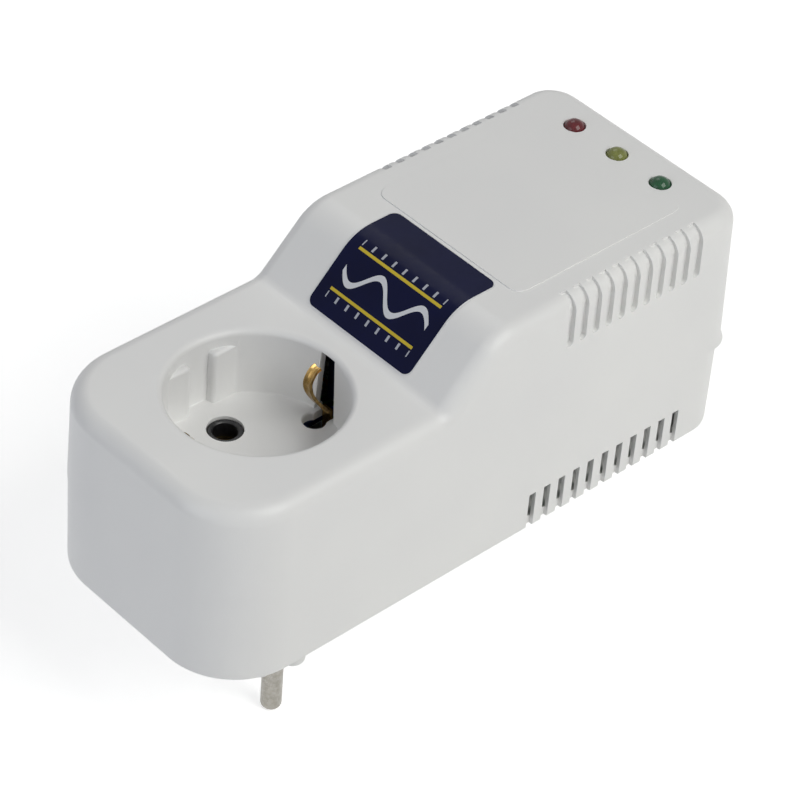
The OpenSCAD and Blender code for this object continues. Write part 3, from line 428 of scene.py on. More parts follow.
def solder_mask():
    """Laminate under green solder mask: etched tracks stand up under the lacquer as lighter lines."""
    material = surface("solder-masked laminate", "275c36", "2c633b", cloud_mm=8, rough=0.36, grain_mm=0.8,
                       depth_mm=0.002, IOR=1.5, Coat_Weight=0.5, Coat_Roughness=0.15)
    track_h = 0.035
    # the brick texture's lengths are in millimetres here, because its scale is one for each millimetre
    tree = material.node_tree
    shader = tree.nodes["Principled BSDF"]
    lacquer = shader.inputs["Base Color"].links[0].from_socket
    where = tree.nodes["Texture Coordinate"].outputs["Object"]
    sockets = {"Vector": where, "Scale": 1 / MM, "Brick Width": 9.0, "Row Height": 2.2, "Mortar Size": 0.45,
               "Mortar Smooth": 0.2}
    tracks = add(tree, "ShaderNodeTexBrick", sockets, offset=0.37).outputs["Fac"]
    add(tree, "ShaderNodeMix", {0: tracks, 6: lacquer, 7: colour("3f8a4f")},
        {2: shader.inputs["Base Color"]}, data_type="RGBA")
    add(tree, "ShaderNodeBump", {"Height": tracks, "Distance": track_h * MM}, {0: shader.inputs["Normal"]})
    return material


def label_print():
    """Laminated polyester, reverse printed: navy, a pale wave, and two yellow limits with ticks."""
    material = surface("laminated label", "0d1132", "11163c", cloud_mm=20, rough=0.22, grain_mm=1.5,
                       depth_mm=0.002, IOR=1.5, Specular_IOR_Level=0.07)
    tree = material.node_tree
    shader = tree.nodes["Principled BSDF"]
    shade = shader.inputs["Base Color"].links[0].from_socket
    run = label_run()
    uv = add(tree, "ShaderNodeUVMap", uv_map="label").outputs["UV"]
    sockets = {"Vector": uv, "Scale": (run, LABEL_W, 1), "Location": (0, -LABEL_W / 2, 0)}
    flat = add(tree, "ShaderNodeMapping", sockets).outputs[0]
    along, across, _ = add(tree, "ShaderNodeSeparateXYZ", {0: flat}).outputs
    values = {"along": along, "across": across}
    for name, operation, *terms in (
            ("turn", "MULTIPLY", "across", math.tau / WAVE_L),
            ("swing", "SINE", "turn"),
            ("level", "MULTIPLY_ADD", "swing", -WAVE_H, "along"),
            ("wave", "COMPARE", "level", run * WAVE_SHARE, WAVE_T / 2),
            ("off", "SUBTRACT", "along", run * WAVE_SHARE),
            ("away", "ABSOLUTE", "off"),
            ("limits", "COMPARE", "away", LIMIT_OUT, LIMIT_T / 2),
            ("band", "COMPARE", "away", LIMIT_OUT + TICK_L, TICK_L / 2),
            ("step", "PINGPONG", "across", TICK_PITCH / 2),
            ("line", "LESS_THAN", "step", TICK_T / 2),
            ("ticks", "MULTIPLY", "band", "line"),
            ("side", "ABSOLUTE", "across"),
            ("inside", "LESS_THAN", "side", LABEL_W / 2 - LABEL_MARGIN)):
        sockets = {i: values.get(term, term) for i, term in enumerate(terms)}
        values[name] = add(tree, "ShaderNodeMath", sockets, operation=operation).outputs[0]
    for mark, hexa in (("limits", "d6bd42"), ("ticks", "b9bcc6"), ("wave", "e0e2e8")):
        sockets = {0: values[mark], 1: values["inside"]}
        mask = add(tree, "ShaderNodeMath", sockets, operation="MULTIPLY").outputs[0]
        sockets = {0: mask, 6: shade, 7: colour(hexa)}
        shade = add(tree, "ShaderNodeMix", sockets, data_type="RGBA").outputs[2]
    tree.links.new(shade, shader.inputs["Base Color"])
    return material


# The two housings

def plan_bm(low, high, inset, draft=False, back_r=BACK_R):
    """A prism on the housing's plan, its corners rounded. With draft, its top ring is drawn in."""
    front_steps, back_steps = 24, 14
    bm = box_bm((FRONT_X + inset, inset - HALF_W, low), (BACK_X - inset, HALF_W - inset, high))
    round_edges(bm, edges_where(bm, lambda a, b: upright(a, b) and a.x < 0), FRONT_R - inset,
                front_steps)
    back = edges_where(bm, lambda a, b: upright(a, b) and min(a.x, b.x) > BACK_X - inset - OVER)
    round_edges(bm, back, back_r - inset, back_steps)
    if draft:
        lean = DRAFT * (high - PART_Z)
        middle = Vector(((FRONT_X + BACK_X) / 2, 0, 0))
        ring = [v for v in bm.verts if abs(v.co.z - high) < NEAR]
        share = (1 - 2 * lean / (BACK_X - FRONT_X), 1 - lean / HALF_W, 1)
        bmesh.ops.scale(bm, vec=share, space=Matrix.Translation(-middle), verts=ring)
    return bm


def slope_bm(low, sink):
    """A block wider than the housing, whose top follows the socket's face, the slope and the hump."""
    far, foot_steps, crest_steps = 5, 8, 14
    outline = [(FRONT_X - far, low), (BACK_X + far, low), (BACK_X + far, HUMP_Z - sink),
               (CREST_X, HUMP_Z - sink), (SLOPE_X, FACE_Z - sink), (FRONT_X - far, FACE_Z - sink)]
    bm = prism_bm(outline, -HALF_W - far, HALF_W + far)
    for x, offset, steps in ((SLOPE_X, FOOT_T, foot_steps), (CREST_X, CREST_T, crest_steps)):
        fold = edges_where(bm, lambda a, b: abs(a.x - x) < NEAR and abs(b.x - x) < NEAR)
        round_edges(bm, fold, offset, steps)
    return bm


def rim_edges(bm):
    """The edges where the top meets the walls."""
    lowest, steep, level = PART_Z + 5, 0.2, 0.4
    found = []
    for e in bm.edges:
        if len(e.link_faces) == 2 and min(v.co.z for v in e.verts) > lowest:
            wall, cap = sorted(abs(f.normal.z) for f in e.link_faces)
            if wall < steep and cap > level:
                found.append(e)
    return found


def skin(name, low, inset, sink, edge, segments):
    """The closed form of the top housing at an inset, its upper edge rounded."""
    far, lip_h = 5, 1.8
    piece = object_of(name, plan_bm(low, HUMP_Z + far, inset, True))
    shaped(piece, [slope_bm(low - far, sink)], "INTERSECT")
    bm = merged(mesh_of(piece), 0.5)
    round_edges(bm, rim_edges(bm), edge, segments)
    if not inset:
        # the lamp end's corners are tighter at the parting line, where they stand over the base
        everything = list(bm.verts) + list(bm.edges) + list(bm.faces)
        bmesh.ops.bisect_plane(bm, geom=everything, plane_co=(0, 0, PART_Z + lip_h), plane_no=(0, 0, 1))
        for v in bm.verts:
            past = (v.co.x - BACK_X + BACK_R) / BACK_R
            aside = (abs(v.co.y) - HALF_W + BACK_R) / BACK_R
            if past > 0 and aside > 0 and v.co.z < PART_Z + NEAR:
                v.co.x += CORNER_LIP * (1 - past)
                v.co.y += math.copysign(CORNER_LIP * (1 - aside), v.co.y)
    for v in bm.verts:
        # the lamp end leans in further than the other walls
        past = v.co.x - BACK_X + BACK_R
        aside = max(0, abs(v.co.y) - HALF_W + BACK_R)
        if past > 0 and v.co.z > PART_Z:
            v.co.x -= BACK_LEAN * (v.co.z - PART_Z) * past / math.hypot(past, aside)
    return object_of(name, bm)


def well_bm():
    """The socket's well: a round hole with a rolled rim, less two flats with a ledge and a groove."""
    ledge_z, flat_y, groove = FACE_Z - 3.6, 17.3, 3.1
    lip, corner, flat_r, above = 1.5, 0.25, 1, FACE_Z + 2 * OVER
    rim = arc(WELL_R + lip, FACE_Z - lip, lip, 180, 90, 8)
    foot = arc(WELL_R - corner, WELL_Z + corner, corner, -90, 0, 4)
    profile = [(0, WELL_Z)] + foot + rim + [(WELL_R + lip, above), (0, above)]
    well = object_of("well", spun_bm(profile, steps=144))
    flats = []
    for side in SIDES:
        for x in ((-WELL_R - OVER, -groove), (groove, WELL_R + OVER)):
            y = sorted((side * flat_y, side * (WELL_R + 2 * OVER)))
            flats.append(rounded_box((x[0], y[0], WELL_Z - OVER), (x[1], y[1], ledge_z), flat_r, 5))
    return mesh_of(shaped(well, flats))


def clip_slot_bm():
    """An earth clip's slot in the well's wall, thinned behind, and its keyhole in the floor."""
    top_half, low_half, under_face, reach = 2.1, 3.1, 1, WELL_R + 3
    wall, thin_half, thin_low, thin_high = 1.3, 4.5, WELL_Z + 0.6, FACE_Z - WALL - 0.4
    hole_r, hole_in, neck, bevel, lap = 2.6, 2.9, 2, 0.3, 0.2
    high = FACE_Z - under_face
    outline = [(-low_half, WELL_Z), (low_half, WELL_Z), (top_half, high), (-top_half, high)]
    slot = object_of("slot", prism_bm(outline, WELL_R - WALL, reach, "x"))
    shaped(slot, [box_bm((WELL_R + wall, -thin_half, thin_low), (reach, thin_half, thin_high))], "UNION")
    low = WELL_Z - WALL - OVER
    shaped(slot, [box_bm((WELL_R - hole_in, -neck, low), (reach, neck, WELL_Z + lap))], "UNION")
    edge = WELL_Z + lap / 4
    profile = [(0, low), (hole_r, low), (hole_r, edge - bevel), (hole_r + bevel, edge), (0, edge)]
    hole = spun_bm(profile, (WELL_R - hole_in, 0, 0), 48)
    return mesh_of(shaped(slot, [hole], "UNION"))


def groove_bm():
    """The grooves over one of the hump's long edges, shallower on top and round at the low end."""
    first, pitch, width, count, low, reach = 59.05, 3.84, 2, 11, UNDER_Z + 47.5, 4.3
    depth, top_depth, far, below, end_r = 1, 0.65, 5, 9, width / 2 - 0.02
    wall_y = HALF_W - (HUMP_Z - PART_Z) * DRAFT
    last = first + count * pitch
    core = box_bm((first - far, -far, low - below), (last + far, wall_y - depth, HUMP_Z - top_depth))
    fold = edges_where(core, lambda a, b: min(a.y, b.y) > 0 and min(a.z, b.z) > low)
    round_edges(core, fold, EDGE_R - depth, 10)
    cuts = []
    for x in (first + i * pitch for i in range(count)):
        cut = box_bm((x, HALF_W - reach, low), (x + width, HALF_W + 2 * OVER, HUMP_Z + 2 * OVER))
        ends = edges_where(cut, lambda a, b: abs(a.y - b.y) > NEAR and max(a.z, b.z) < low + NEAR)
        cuts.append(round_edges(cut, ends, end_r, 6))
    return mesh_of(shaped(object_of("grooves", joined(cuts)), [core]))


def panel_bm():
    """The hump's raised panel, whose step fades towards the lamps."""
    x, length, half, fade, corner, bevel = 51.7, 50, 22.2, 0.16, 3, 0.05
    bm = box_bm((x, -half, HUMP_Z - OVER), (x + length, half, HUMP_Z + PANEL_H))
    round_edges(bm, edges_where(bm, upright), corner, 8)
    crown = [v for v in bm.verts if v.co.z > HUMP_Z]
    for v in crown:
        v.co.z -= fade * (v.co.x - x) / length
    rim = edges_where(bm, lambda a, b: min(a.z, b.z) > HUMP_Z)
    return round_edges(bm, rim, bevel, 1)


def top_shell():
    """Upper shell of the housing, with the well, its tube, the grooves, the slots and the posts inside."""
    lamp_post_z, lamp_post_r, thread_r, thread_l, collar_gap = 71.9, 2.6, 1.45, 12, 0.15
    lamp_low, lamp_gap, mouth = 71, 0.05, 0.1
    under = WELL_Z - WALL
    piece = skin("top_shell", PART_Z, inset=0, sink=0, edge=EDGE_R, segments=10)
    cavity = skin("cavity", PART_Z - 2 * OVER, inset=WALL, sink=WALL, edge=EDGE_R - WALL / 2, segments=4)
    shaped(piece, [mesh_of(cavity)])
    shaped(piece, [panel_bm()], "UNION")
    shaped(piece, [disc_bm(0, 0, under, WELL_R + WALL, FACE_Z - under - IN_WALL, 144)], "UNION")
    posts = [disc_bm(x, y, PART_Z, POST_R, (FACE_Z if x < 0 else HUMP_Z) - PART_Z - IN_WALL, 40)
             for x, y in SCREW_PLACES]
    lamp_post_h = HUMP_Z - IN_WALL - lamp_post_z
    posts += [disc_bm(LAMP_X, s * LAMP_PITCH / 2, lamp_post_z, lamp_post_r, lamp_post_h, 32) for s in SIDES]
    low, length = under - CARRIER_POST_L, CARRIER_POST_L + OVER
    posts += [disc_bm(s * CARRIER_POST_X, 0, low, CARRIER_POST_R, length, 32) for s in SIDES]
    shaped(piece, posts, "UNION")
    shaped(piece, [well_bm()])
    slot = clip_slot_bm()
    shaped(piece, [slot.copy(), mirrored(slot, 0)])
    holes = [disc_bm(0, s * PIN_Y, under - OVER, COLLAR_R + collar_gap, WALL + 2 * OVER, 48) for s in SIDES]
    holes += [disc_bm(x, y, PART_Z - OVER, thread_r, thread_l, 24) for x, y in SCREW_PLACES]
    hole_r = LAMP_R + lamp_gap
    lamp_hole = [(0, lamp_low), (hole_r, lamp_low), (hole_r, HUMP_Z - mouth), (hole_r + mouth, HUMP_Z),
                 (hole_r + mouth, HUMP_Z + OVER), (0, HUMP_Z + OVER)]
    holes += [spun_bm(lamp_hole, (place.x, place.y, 0), 48) for place in LAMP_PLACES.values()]
    shaped(piece, holes)
    grooves = groove_bm()
    shaped(piece, [grooves.copy(), mirrored(grooves)])
    return finished(piece, ABS, replaces=["top_housing"])


def vent_bm():
    """The vents along one side, which run out at the bottom edge, and the thinner wall they go through."""
    first, pitch, width, count, high = 52.6, 4.45, 2, 11, UNDER_Z + 9.7
    end, relief, lap = 1.5, 1.2, 0.1
    inner = HALF_W - LIP - WALL
    last = first + (count - 1) * pitch + width
    thinned = box_bm((first - end, inner - OVER, FLOOR_Z), (last + end, inner + relief, high + end))
    slots = [box_bm((x, inner + relief - lap, UNDER_Z - 2 * OVER), (x + width, HALF_W + 2 * OVER, high))
             for x in (first + i * pitch for i in range(count))]
    return mesh_of(shaped(object_of("vents", thinned), slots, "UNION"))


def plug_body():
    """The round plug body with its flats and the keys that run in a socket's grooves."""
    key_r, key_reach, face_r, high, far = 2.9, 18.3, 0.6, UNDER_Z + OVER, 30
    plug = object_of("plug", disc_bm(0, 0, 0, PLUG_R, high, 144))
    shaped(plug, [box_bm((-far, -PLUG_FLAT, -5 * OVER), (far, PLUG_FLAT, far))], "INTERSECT")
    key_y = key_reach - key_r
    key = object_of("key", box_bm((-key_r, -key_y, 0), (key_r, key_y, high)))
    for s in SIDES:
        shaped(key, [disc_bm(0, s * key_y, 0, key_r, high)], "UNION")
    shaped(plug, [mesh_of(key)], "UNION")
    bm = merged(mesh_of(plug), 0.5)
    return round_edges(bm, edges_where(bm, lambda a, b: max(a.z, b.z) < NEAR), face_r, 4)


def tongue_bm():
    """The lower shell's tongue: a thin wall that stands up inside the top one, and its root."""
    rise, gap, thick = 2, 0.2, 1
    low, high = PART_Z - rise, PART_Z + rise
    tongue = object_of("tongue", plan_bm(low, high, WALL + gap, back_r=BASE_BACK_R))
    shaped(tongue, [plan_bm(low, PART_Z - gap, WALL / 2, back_r=BASE_BACK_R)], "UNION")
    shaped(tongue, [plan_bm(low - OVER, high + OVER, WALL + gap + thick, back_r=BASE_BACK_R)])
    return mesh_of(tongue)


def floor_posts():
    """The posts on the lower shell's floor: for the housing's screws, the board's and the pin clamp."""
    board_xs, board_y, board_h, clamp_h = (38, 93.8), 22, 7.8, 1.5
    low = FLOOR_Z - OVER
    posts = [disc_bm(x, y, low, POST_R, PART_Z - low, 40) for x, y in SCREW_PLACES]
    posts += [disc_bm(x, s * board_y, low, SMALL_POST_R, board_h + OVER, 32)
              for x in board_xs for s in SIDES]
    return posts + [disc_bm(0, 0, low, SMALL_POST_R, clamp_h + OVER, 32)]


def screw_wells():
    """The stepped holes that the housing's screws go up through."""
    head_r, head_l, shank_r, bevel = 3, 9, 1.6, 0.4
    low, seat = UNDER_Z - OVER, UNDER_Z + head_l
    profile = [(0, low), (head_r + bevel, low), (head_r + bevel, UNDER_Z), (head_r, UNDER_Z + bevel),
               (head_r, seat), (shank_r, seat), (shank_r, PART_Z + OVER), (0, PART_Z + OVER)]
    return [spun_bm(profile, (x, y, 0), 48) for x, y in SCREW_PLACES]


def plug_hollows():
    """The pins' bores in the plug body, and the hollows that keep its walls even."""
    gap, near, far, half, low = 0.05, 6, 12, 8, 3
    bores = [disc_bm(0, s * PIN_Y, -OVER, SHANK_R + gap, FLOOR_Z + 2 * OVER, 48) for s in SIDES]
    return bores + [side_box(s, near, far, half, low, FLOOR_Z + OVER) for s in SIDES]


def strap_recesses():
    """The recesses in the plug body's sides for the earth strap, and the slits that it comes down."""
    near, far, half, low, high, round_r = 15.2, 22, 2.5, -2, UNDER_Z - WALL, 0.4
    recesses = [side_box(s, near, far, half, low, high) for s in SIDES]
    for bm in recesses:
        round_edges(bm, list(bm.edges), round_r)
    near, far, half, low, high = 15.05, 16.15, 2.15, 1.5, 24
    return recesses, [side_box(s, near, far, half, low, high) for s in SIDES]


def bottom_shell():
    """Lower shell, with the plug body, the tongue that locates the top, the posts and the screw wells."""
    under_r, floor_r = 0.45, 0.8
    shell = plan_bm(UNDER_Z, PART_Z, LIP, back_r=BASE_BACK_R)
    round_edges(shell, edges_where(shell, lambda a, b: max(a.z, b.z) < UNDER_Z + NEAR), under_r)
    piece = object_of("bottom_shell", shell)
    cavity = plan_bm(FLOOR_Z, PART_Z + OVER, LIP + WALL, back_r=BASE_BACK_R)
    round_edges(cavity, edges_where(cavity, lambda a, b: max(a.z, b.z) < FLOOR_Z + NEAR), floor_r)
    shaped(piece, [cavity])
    shaped(piece, [tongue_bm()], "UNION")
    shaped(piece, [plug_body()], "UNION")
    shaped(piece, floor_posts(), "UNION")
    shaped(piece, screw_wells() + plug_hollows())
    for recess in strap_recesses():
        shaped(piece, recess)
    vents = vent_bm()
    shaped(piece, [vents.copy(), mirrored(vents)])
    return finished(piece, ABS, replaces=["bottom_housing"])


# Label

def slope_point(run, lift):
    """The place a run up the label's path, lifted off the surface."""
    rise = (CREST_X - CREST_T * math.cos(SLOPE) - LABEL_FROM) / math.cos(SLOPE)
    crest = CREST_R * SLOPE
    lean = SLOPE if run < rise else max(0, SLOPE - (run - rise) / CREST_R)
    if run < rise:
        x = LABEL_FROM + run * math.cos(SLOPE)
        z = FACE_Z + (x - SLOPE_X) * math.tan(SLOPE)
    else:
        x = CREST_X + CREST_T - CREST_R * math.sin(lean)
        z = HUMP_Z - CREST_R + CREST_R * math.cos(lean)
    x += max(0, run - rise - crest)
    return Vector((x - lift * math.sin(lean), 0, z + lift * math.cos(lean)))


def label_run():
    """The label's length along the surface, up to the edge it has in plan."""
    rise = (CREST_X - CREST_T * math.cos(SLOPE) - LABEL_FROM) / math.cos(SLOPE)
    return rise + CREST_R * SLOPE + LABEL_HIGH.x - CREST_X - CREST_T


def sheet_bm(inset, low, high, corner):
    """A thin rounded sheet that follows the slope, from one lift off it to another."""
    run, half, steps = label_run(), LABEL_W / 2, 40
    bm = box_bm((inset, inset - half, low), (run - inset, half - inset, high))
    round_edges(bm, edges_where(bm, upright), corner, 8)
    uv = bm.loops.layers.uv.new("label")
    for i in range(1, steps):
        everything = list(bm.verts) + list(bm.edges) + list(bm.faces)
        bmesh.ops.bisect_plane(bm, geom=everything, plane_co=(run * i / steps, 0, 0), plane_no=(1, 0, 0))
    for face in bm.faces:
        for loop in face.loops:
            loop[uv].uv = (loop.vert.co.x / run, loop.vert.co.y / LABEL_W + 0.5)
    for v in bm.verts:
        place = slope_point(v.co.x, v.co.z)
        v.co = (place.x, LABEL_Y + v.co.y, place.z)
    return bm


def label():
    """The sticker: white film, which shows as a thin pale border, and the printed face on it."""
    backing = object_of("label_border", sheet_bm(inset=0, low=0.03, high=0.12, corner=2.2))
    finished(backing, LABEL_WHITE)
    face = object_of("label_face", sheet_bm(inset=0.35, low=0.11, high=0.17, corner=1.9))
    finished(face, LABEL_PRINT, replaces=["label"])


# Socket contacts

def carrier():
    """Black block under the well, with a collar and a funnel round each entry."""
    bar_half, arm_half, round_r, collar_deep, collar_edge = 7, 4.5, 0.5, 3, 0.3
    sleeve_r, entry_r, entry_l, funnel, above, shank_r, slip = 3.4, 2.75, 3.8, 0.3, 0.05, 1.5, 0.1
    top, under, low = WELL_Z - 0.5, WELL_Z - WALL, CARRIER_LOW.z
    block = rounded_box((-bar_half, CARRIER_LOW.y, low), (bar_half, CARRIER_HIGH.y, under), round_r)
    piece = object_of("contact_carrier_block", block)
    arms = rounded_box((CARRIER_LOW.x, -arm_half, low), (CARRIER_HIGH.x, arm_half, under), round_r)
    shaped(piece, [arms], "UNION")
    collar = [(0, under - collar_deep), (COLLAR_R, under - collar_deep)]
    collar += arc(COLLAR_R - collar_edge, top - collar_edge, collar_edge, 0, 90, 3) + [(0, top)]
    shaped(piece, [spun_bm(collar, (0, s * PIN_Y, 0), 48) for s in SIDES], "UNION")
    below, high = low - OVER, top + above
    bore = [(0, below), (sleeve_r, below), (sleeve_r, top - entry_l), (entry_r, top - entry_l),
            (entry_r, high - funnel), (entry_r + funnel, high), (0, high)]
    cuts = [spun_bm(bore, (0, s * PIN_Y, 0), 48) for s in SIDES]
    post_r, seat = CARRIER_POST_R + slip, under - CARRIER_POST_L - slip
    sink = [(0, below), (shank_r, below), (shank_r, seat), (post_r, seat), (post_r, under + OVER),
            (0, under + OVER)]
    cuts += [spun_bm(sink, (s * CARRIER_POST_X, 0, 0), 32) for s in SIDES]
    shaped(piece, cuts)
    finished(piece, BLACK_MOULDING, replaces=["contact_carrier"])


# The clip's centre line, as shares of the well's radius across and of its depth up from the floor
CLIP_SHARES = ((1.05, 0), (1.035, 0.06), (0.96, 0.17), (0.86, 0.33), (0.78, 0.5), (0.745, 0.64),
               (0.76, 0.76), (0.83, 0.87), (0.9, 0.9))
CLIP_FOOT = Vector((WELL_R + 1, CARRIER_LOW.z + 1.2))
# Each clip's lean about its foot in degrees, outwards positive: the near rim hides the front one
REAR_LEAN = -2
FRONT_LEAN = 5.2


def clip_path(lean, steps=6):
    """The clip's centre line in the XZ plane, smooth through its bends and leant about its foot."""
    knots = [CLIP_FOOT.copy()]
    knots += [Vector((WELL_R * a, WELL_Z + (FACE_Z - WELL_Z) * b)) for a, b in CLIP_SHARES]
    turn = Matrix.Rotation(math.radians(-lean), 2)
    knots = [CLIP_FOOT + turn @ (knot - CLIP_FOOT) for knot in knots]
    path = []
    for i in range(len(knots) - 1):
        p0, p1, p2, p3 = (knots[max(0, min(len(knots) - 1, i + k))] for k in (-1, 0, 1, 2))
        for t in (j / steps for j in range(steps)):
            path.append(0.5 * (2 * p1 + (p2 - p0) * t + (2 * p0 - 5 * p1 + 4 * p2 - p3) * t ** 2
                               + (3 * p1 - p0 - 3 * p2 + p3) * t ** 3))
    return path + [knots[-1]]


def earth_clip(name, side, lean):
    """A sprung strip, narrower at the top, where a groove runs down its face, with a round foot."""
    low_half, top_half, thick, foot_r, foot_edge, columns = 1.25, 1, 0.7, 0.9, 0.12, 12
    groove, groove_from, groove_fade, groove_w = 0.45, 0.5, 0.12, 0.75
    path = clip_path(lean)
    bm = bmesh.new()
    row = [bm.verts.new((0, k, 0)) for k in range(columns + 1)]
    edges = [bm.edges.new(pair) for pair in zip(row, row[1:])]
    for i, p in enumerate(path):
        if i:
            grown = bmesh.ops.extrude_edge_only(bm, edges=edges)["geom"]
            row = sorted((g for g in grown if isinstance(g, bmesh.types.BMVert)), key=lambda v: v.co.y)
            edges = [g for g in grown if isinstance(g, bmesh.types.BMEdge)]
        share = i / (len(path) - 1)
        half = low_half + (top_half - low_half) * share
        along = (path[min(i + 1, len(path) - 1)] - path[max(i - 1, 0)]).normalized()
        outward = Vector((along.y, -along.x))
        depth = groove * min(1, max(0, (share - groove_from) / groove_fade))
        for k, v in enumerate(row):
            y = 2 * k / columns - 1
            at = p + outward * depth * max(0, 1 - (y / groove_w) ** 4)
            v.co = (at.x, y * half, at.y)
    bmesh.ops.recalc_face_normals(bm, faces=bm.faces)
    bmesh.ops.solidify(bm, geom=list(bm.faces), thickness=thick)
    bmesh.ops.recalc_face_normals(bm, faces=bm.faces)
    foot = turned(disc_bm(0, 0, -low_half, foot_r, 2 * low_half, 32), 90, "X")
    round_edges(foot, sharp_edges(foot), foot_edge, 2)
    bmesh.ops.translate(foot, vec=(CLIP_FOOT.x, 0, CLIP_FOOT.y), verts=foot.verts)
    whole = joined([bm, foot])
    if side < 0:
        mirrored(whole, 0)
    strip = object_of(name + "_strip", whole)
    finished(strip, SPRING_BRONZE, body=name, replaces=[name], smooth=40)


def plug_pin(name, side):
    """A turned, plated pin with a rounded tip, a shoulder in the plug body, a flange and a stud."""
    tip, step, flange_r, flange_t, stud_r, stud_l, bevel = 1.4, 0.12, 4, 1.5, 2, 5.2, 0.2
    seat = FLOOR_Z + flange_t
    end = seat + stud_l
    profile = [(0, -PIN_L)] + arc(PIN_R - tip, tip - PIN_L, tip, -90, 0, 8)
    profile += [(PIN_R, -step), (PIN_R + step, 0), (SHANK_R, 0), (SHANK_R, FLOOR_Z)]
    profile += [(flange_r - bevel, FLOOR_Z), (flange_r, FLOOR_Z + bevel), (flange_r, seat - bevel),
                (flange_r - bevel, seat), (stud_r, seat), (stud_r, end - bevel), (stud_r - bevel, end),
                (0, end)]
    pin = object_of(name + "_turned", spun_bm(profile, (0, side * PIN_Y, 0)))
    finished(pin, PLATED_PIN, replaces=[name])


# Lamps

def lamp(name, material):
    """A 5 mm lamp: tinted dome on a rim, and the cup and post of its leads inside."""
    rim_r, rim_h, bevel, lens_edge = 2.9, 1, 0.1, 0.05
    stem_r, cone_r, cup_r, pit_r, cone_h, wall_h, brim = 0.3, 0.95, 1.15, 0.45, 0.8, 0.3, 0.5
    post_half, post_near, post_far, post_rise, aside = 0.25, 0.95, 1.5, 0.7, 0.3
    centre = LAMP_PLACES[name]
    z, top = LAMPS[name][0].z, LAMPS[name][1].z
    rim_z = z + rim_h
    profile = [(0, z), (rim_r - bevel, z), (rim_r, z + bevel), (rim_r, rim_z - bevel),
               (rim_r - bevel, rim_z), (LAMP_R, rim_z + lens_edge)]
    profile += arc(0, top - LAMP_R, LAMP_R, 0, 90, 16)
    lens = object_of("lamp_" + name, spun_bm(profile, (centre.x, centre.y, 0), 48))
    finished(lens, material, replaces=["led_" + name], smooth=50)
    foot, pit = z + 0.4, top - 4.6
    cup = [(0, foot), (stem_r, foot), (stem_r, pit - cone_h), (cone_r, pit - wall_h), (cup_r, pit + brim),
           (cone_r, pit + brim), (pit_r, pit), (0, pit)]
    post = box_bm((-post_half, -post_far, foot), (post_half, -post_near, pit + post_rise))
    lead_frame = joined([spun_bm(cup, steps=24), post])
    bmesh.ops.translate(lead_frame, vec=(centre.x, centre.y + aside, 0), verts=lead_frame.verts)
    finished(object_of("lamp_frame_" + name, lead_frame), TINNED)


# Inner pieces that keep the frame's form, with their edges softened

def softened(node, width, material, body="root"):
    """The node's own form with its seams merged and its sharp edges rounded."""
    bm = bmesh.new()
    bm.from_mesh(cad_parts[node].data)
    bmesh.ops.remove_doubles(bm, verts=bm.verts, dist=SAME * MM)
    bmesh.ops.scale(bm, vec=(1 / MM, 1 / MM, 1 / MM), verts=bm.verts)
    merged(bm, 0.3)
    round_edges(bm, sharp_edges(bm), width, 2)
    finished(object_of(node + "_made", bm), material, body=body, replaces=[node])


def wire(node, material):
    """An insulated wire: the node's faceted route made round."""
    bm = bmesh.new()
    bm.from_mesh(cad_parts[node].data)
    bmesh.ops.scale(bm, vec=(1 / MM, 1 / MM, 1 / MM), verts=bm.verts)
    bmesh.ops.remove_doubles(bm, verts=bm.verts, dist=NEAR)
    level, square = math.radians(30), math.radians(70)
    bmesh.ops.join_triangles(bm, faces=bm.faces, angle_face_threshold=level, angle_shape_threshold=square)
    piece = object_of(node + "_made", bm)
    round_section = piece.modifiers.new("round", "SUBSURF")
    round_section.levels = 2
    round_section.render_levels = 2
    finished(piece, material, replaces=[node], smooth=60)


def fuse():
    """A glass fuse: two plated caps crimped on a tube with the wire down its middle."""
    low, high = node_box("fuse_tube")
    radius = (high.z - low.z) / 2
    middle = (low + high) / 2
    length, cap_l = high.x - low.x, 5
    bevel, crimp, crimp_w, lip = 0.3, 0.12, 0.2, 0.1
    glass_t, glass_in, link_r, link_in = 0.63, 0.4, 0.12, 0.5
    cap = [(0, 0), (radius - bevel, 0), (radius, bevel), (radius, cap_l - 3 * crimp_w),
           (radius - crimp, cap_l - 2 * crimp_w), (radius, cap_l - crimp_w), (radius, cap_l),
           (radius - lip, cap_l), (0, cap_l)]
    ends = [spun_bm(cap, steps=32), mirrored(spun_bm(cap, (0, 0, -length), 32), 2)]
    outer = radius - crimp
    inner, low_end, high_end = outer - glass_t, cap_l - glass_in, length - cap_l + glass_in
    tube = spun_bm([(inner, low_end), (outer, low_end), (outer, high_end), (inner, high_end)], steps=32)
    link = disc_bm(0, 0, cap_l - link_in, link_r, length - 2 * (cap_l - link_in), 8)
    for name, bm, material, slot, stands_for in (
            ("fuse_caps", joined(ends), TINNED, "tinned_leads", ()),
            ("fuse_glass", tube, GLASS, "fuse_glass", ["fuse_tube"]),
            ("fuse_link", link, TINNED, "tinned_leads", ())):
        turned(bm, 90, "Y")
        bmesh.ops.translate(bm, vec=(low.x, middle.y, middle.z), verts=bm.verts)
        finished(object_of(name, bm), material, replaces=stands_for)


# Satin, with a fine spark-eroded grain, coarse enough here to show, and faint clouds from the melt's flow
ABS = surface("moulded ABS", "eeeeee", "f2f2f1", cloud_mm=45, rough=0.4, grain_mm=0.5, depth_mm=0.014,
              IOR=1.54)
# Smooth and white, so the label has a thin pale border
LABEL_WHITE = moulded("white label film", "e4e4e6", "ececee", 0.3)
LABEL_PRINT = label_print()
# Near black and dull, because its filler shows
BLACK_MOULDING = moulded("black moulded thermoset", "141416", "1c1c1f", 0.42)
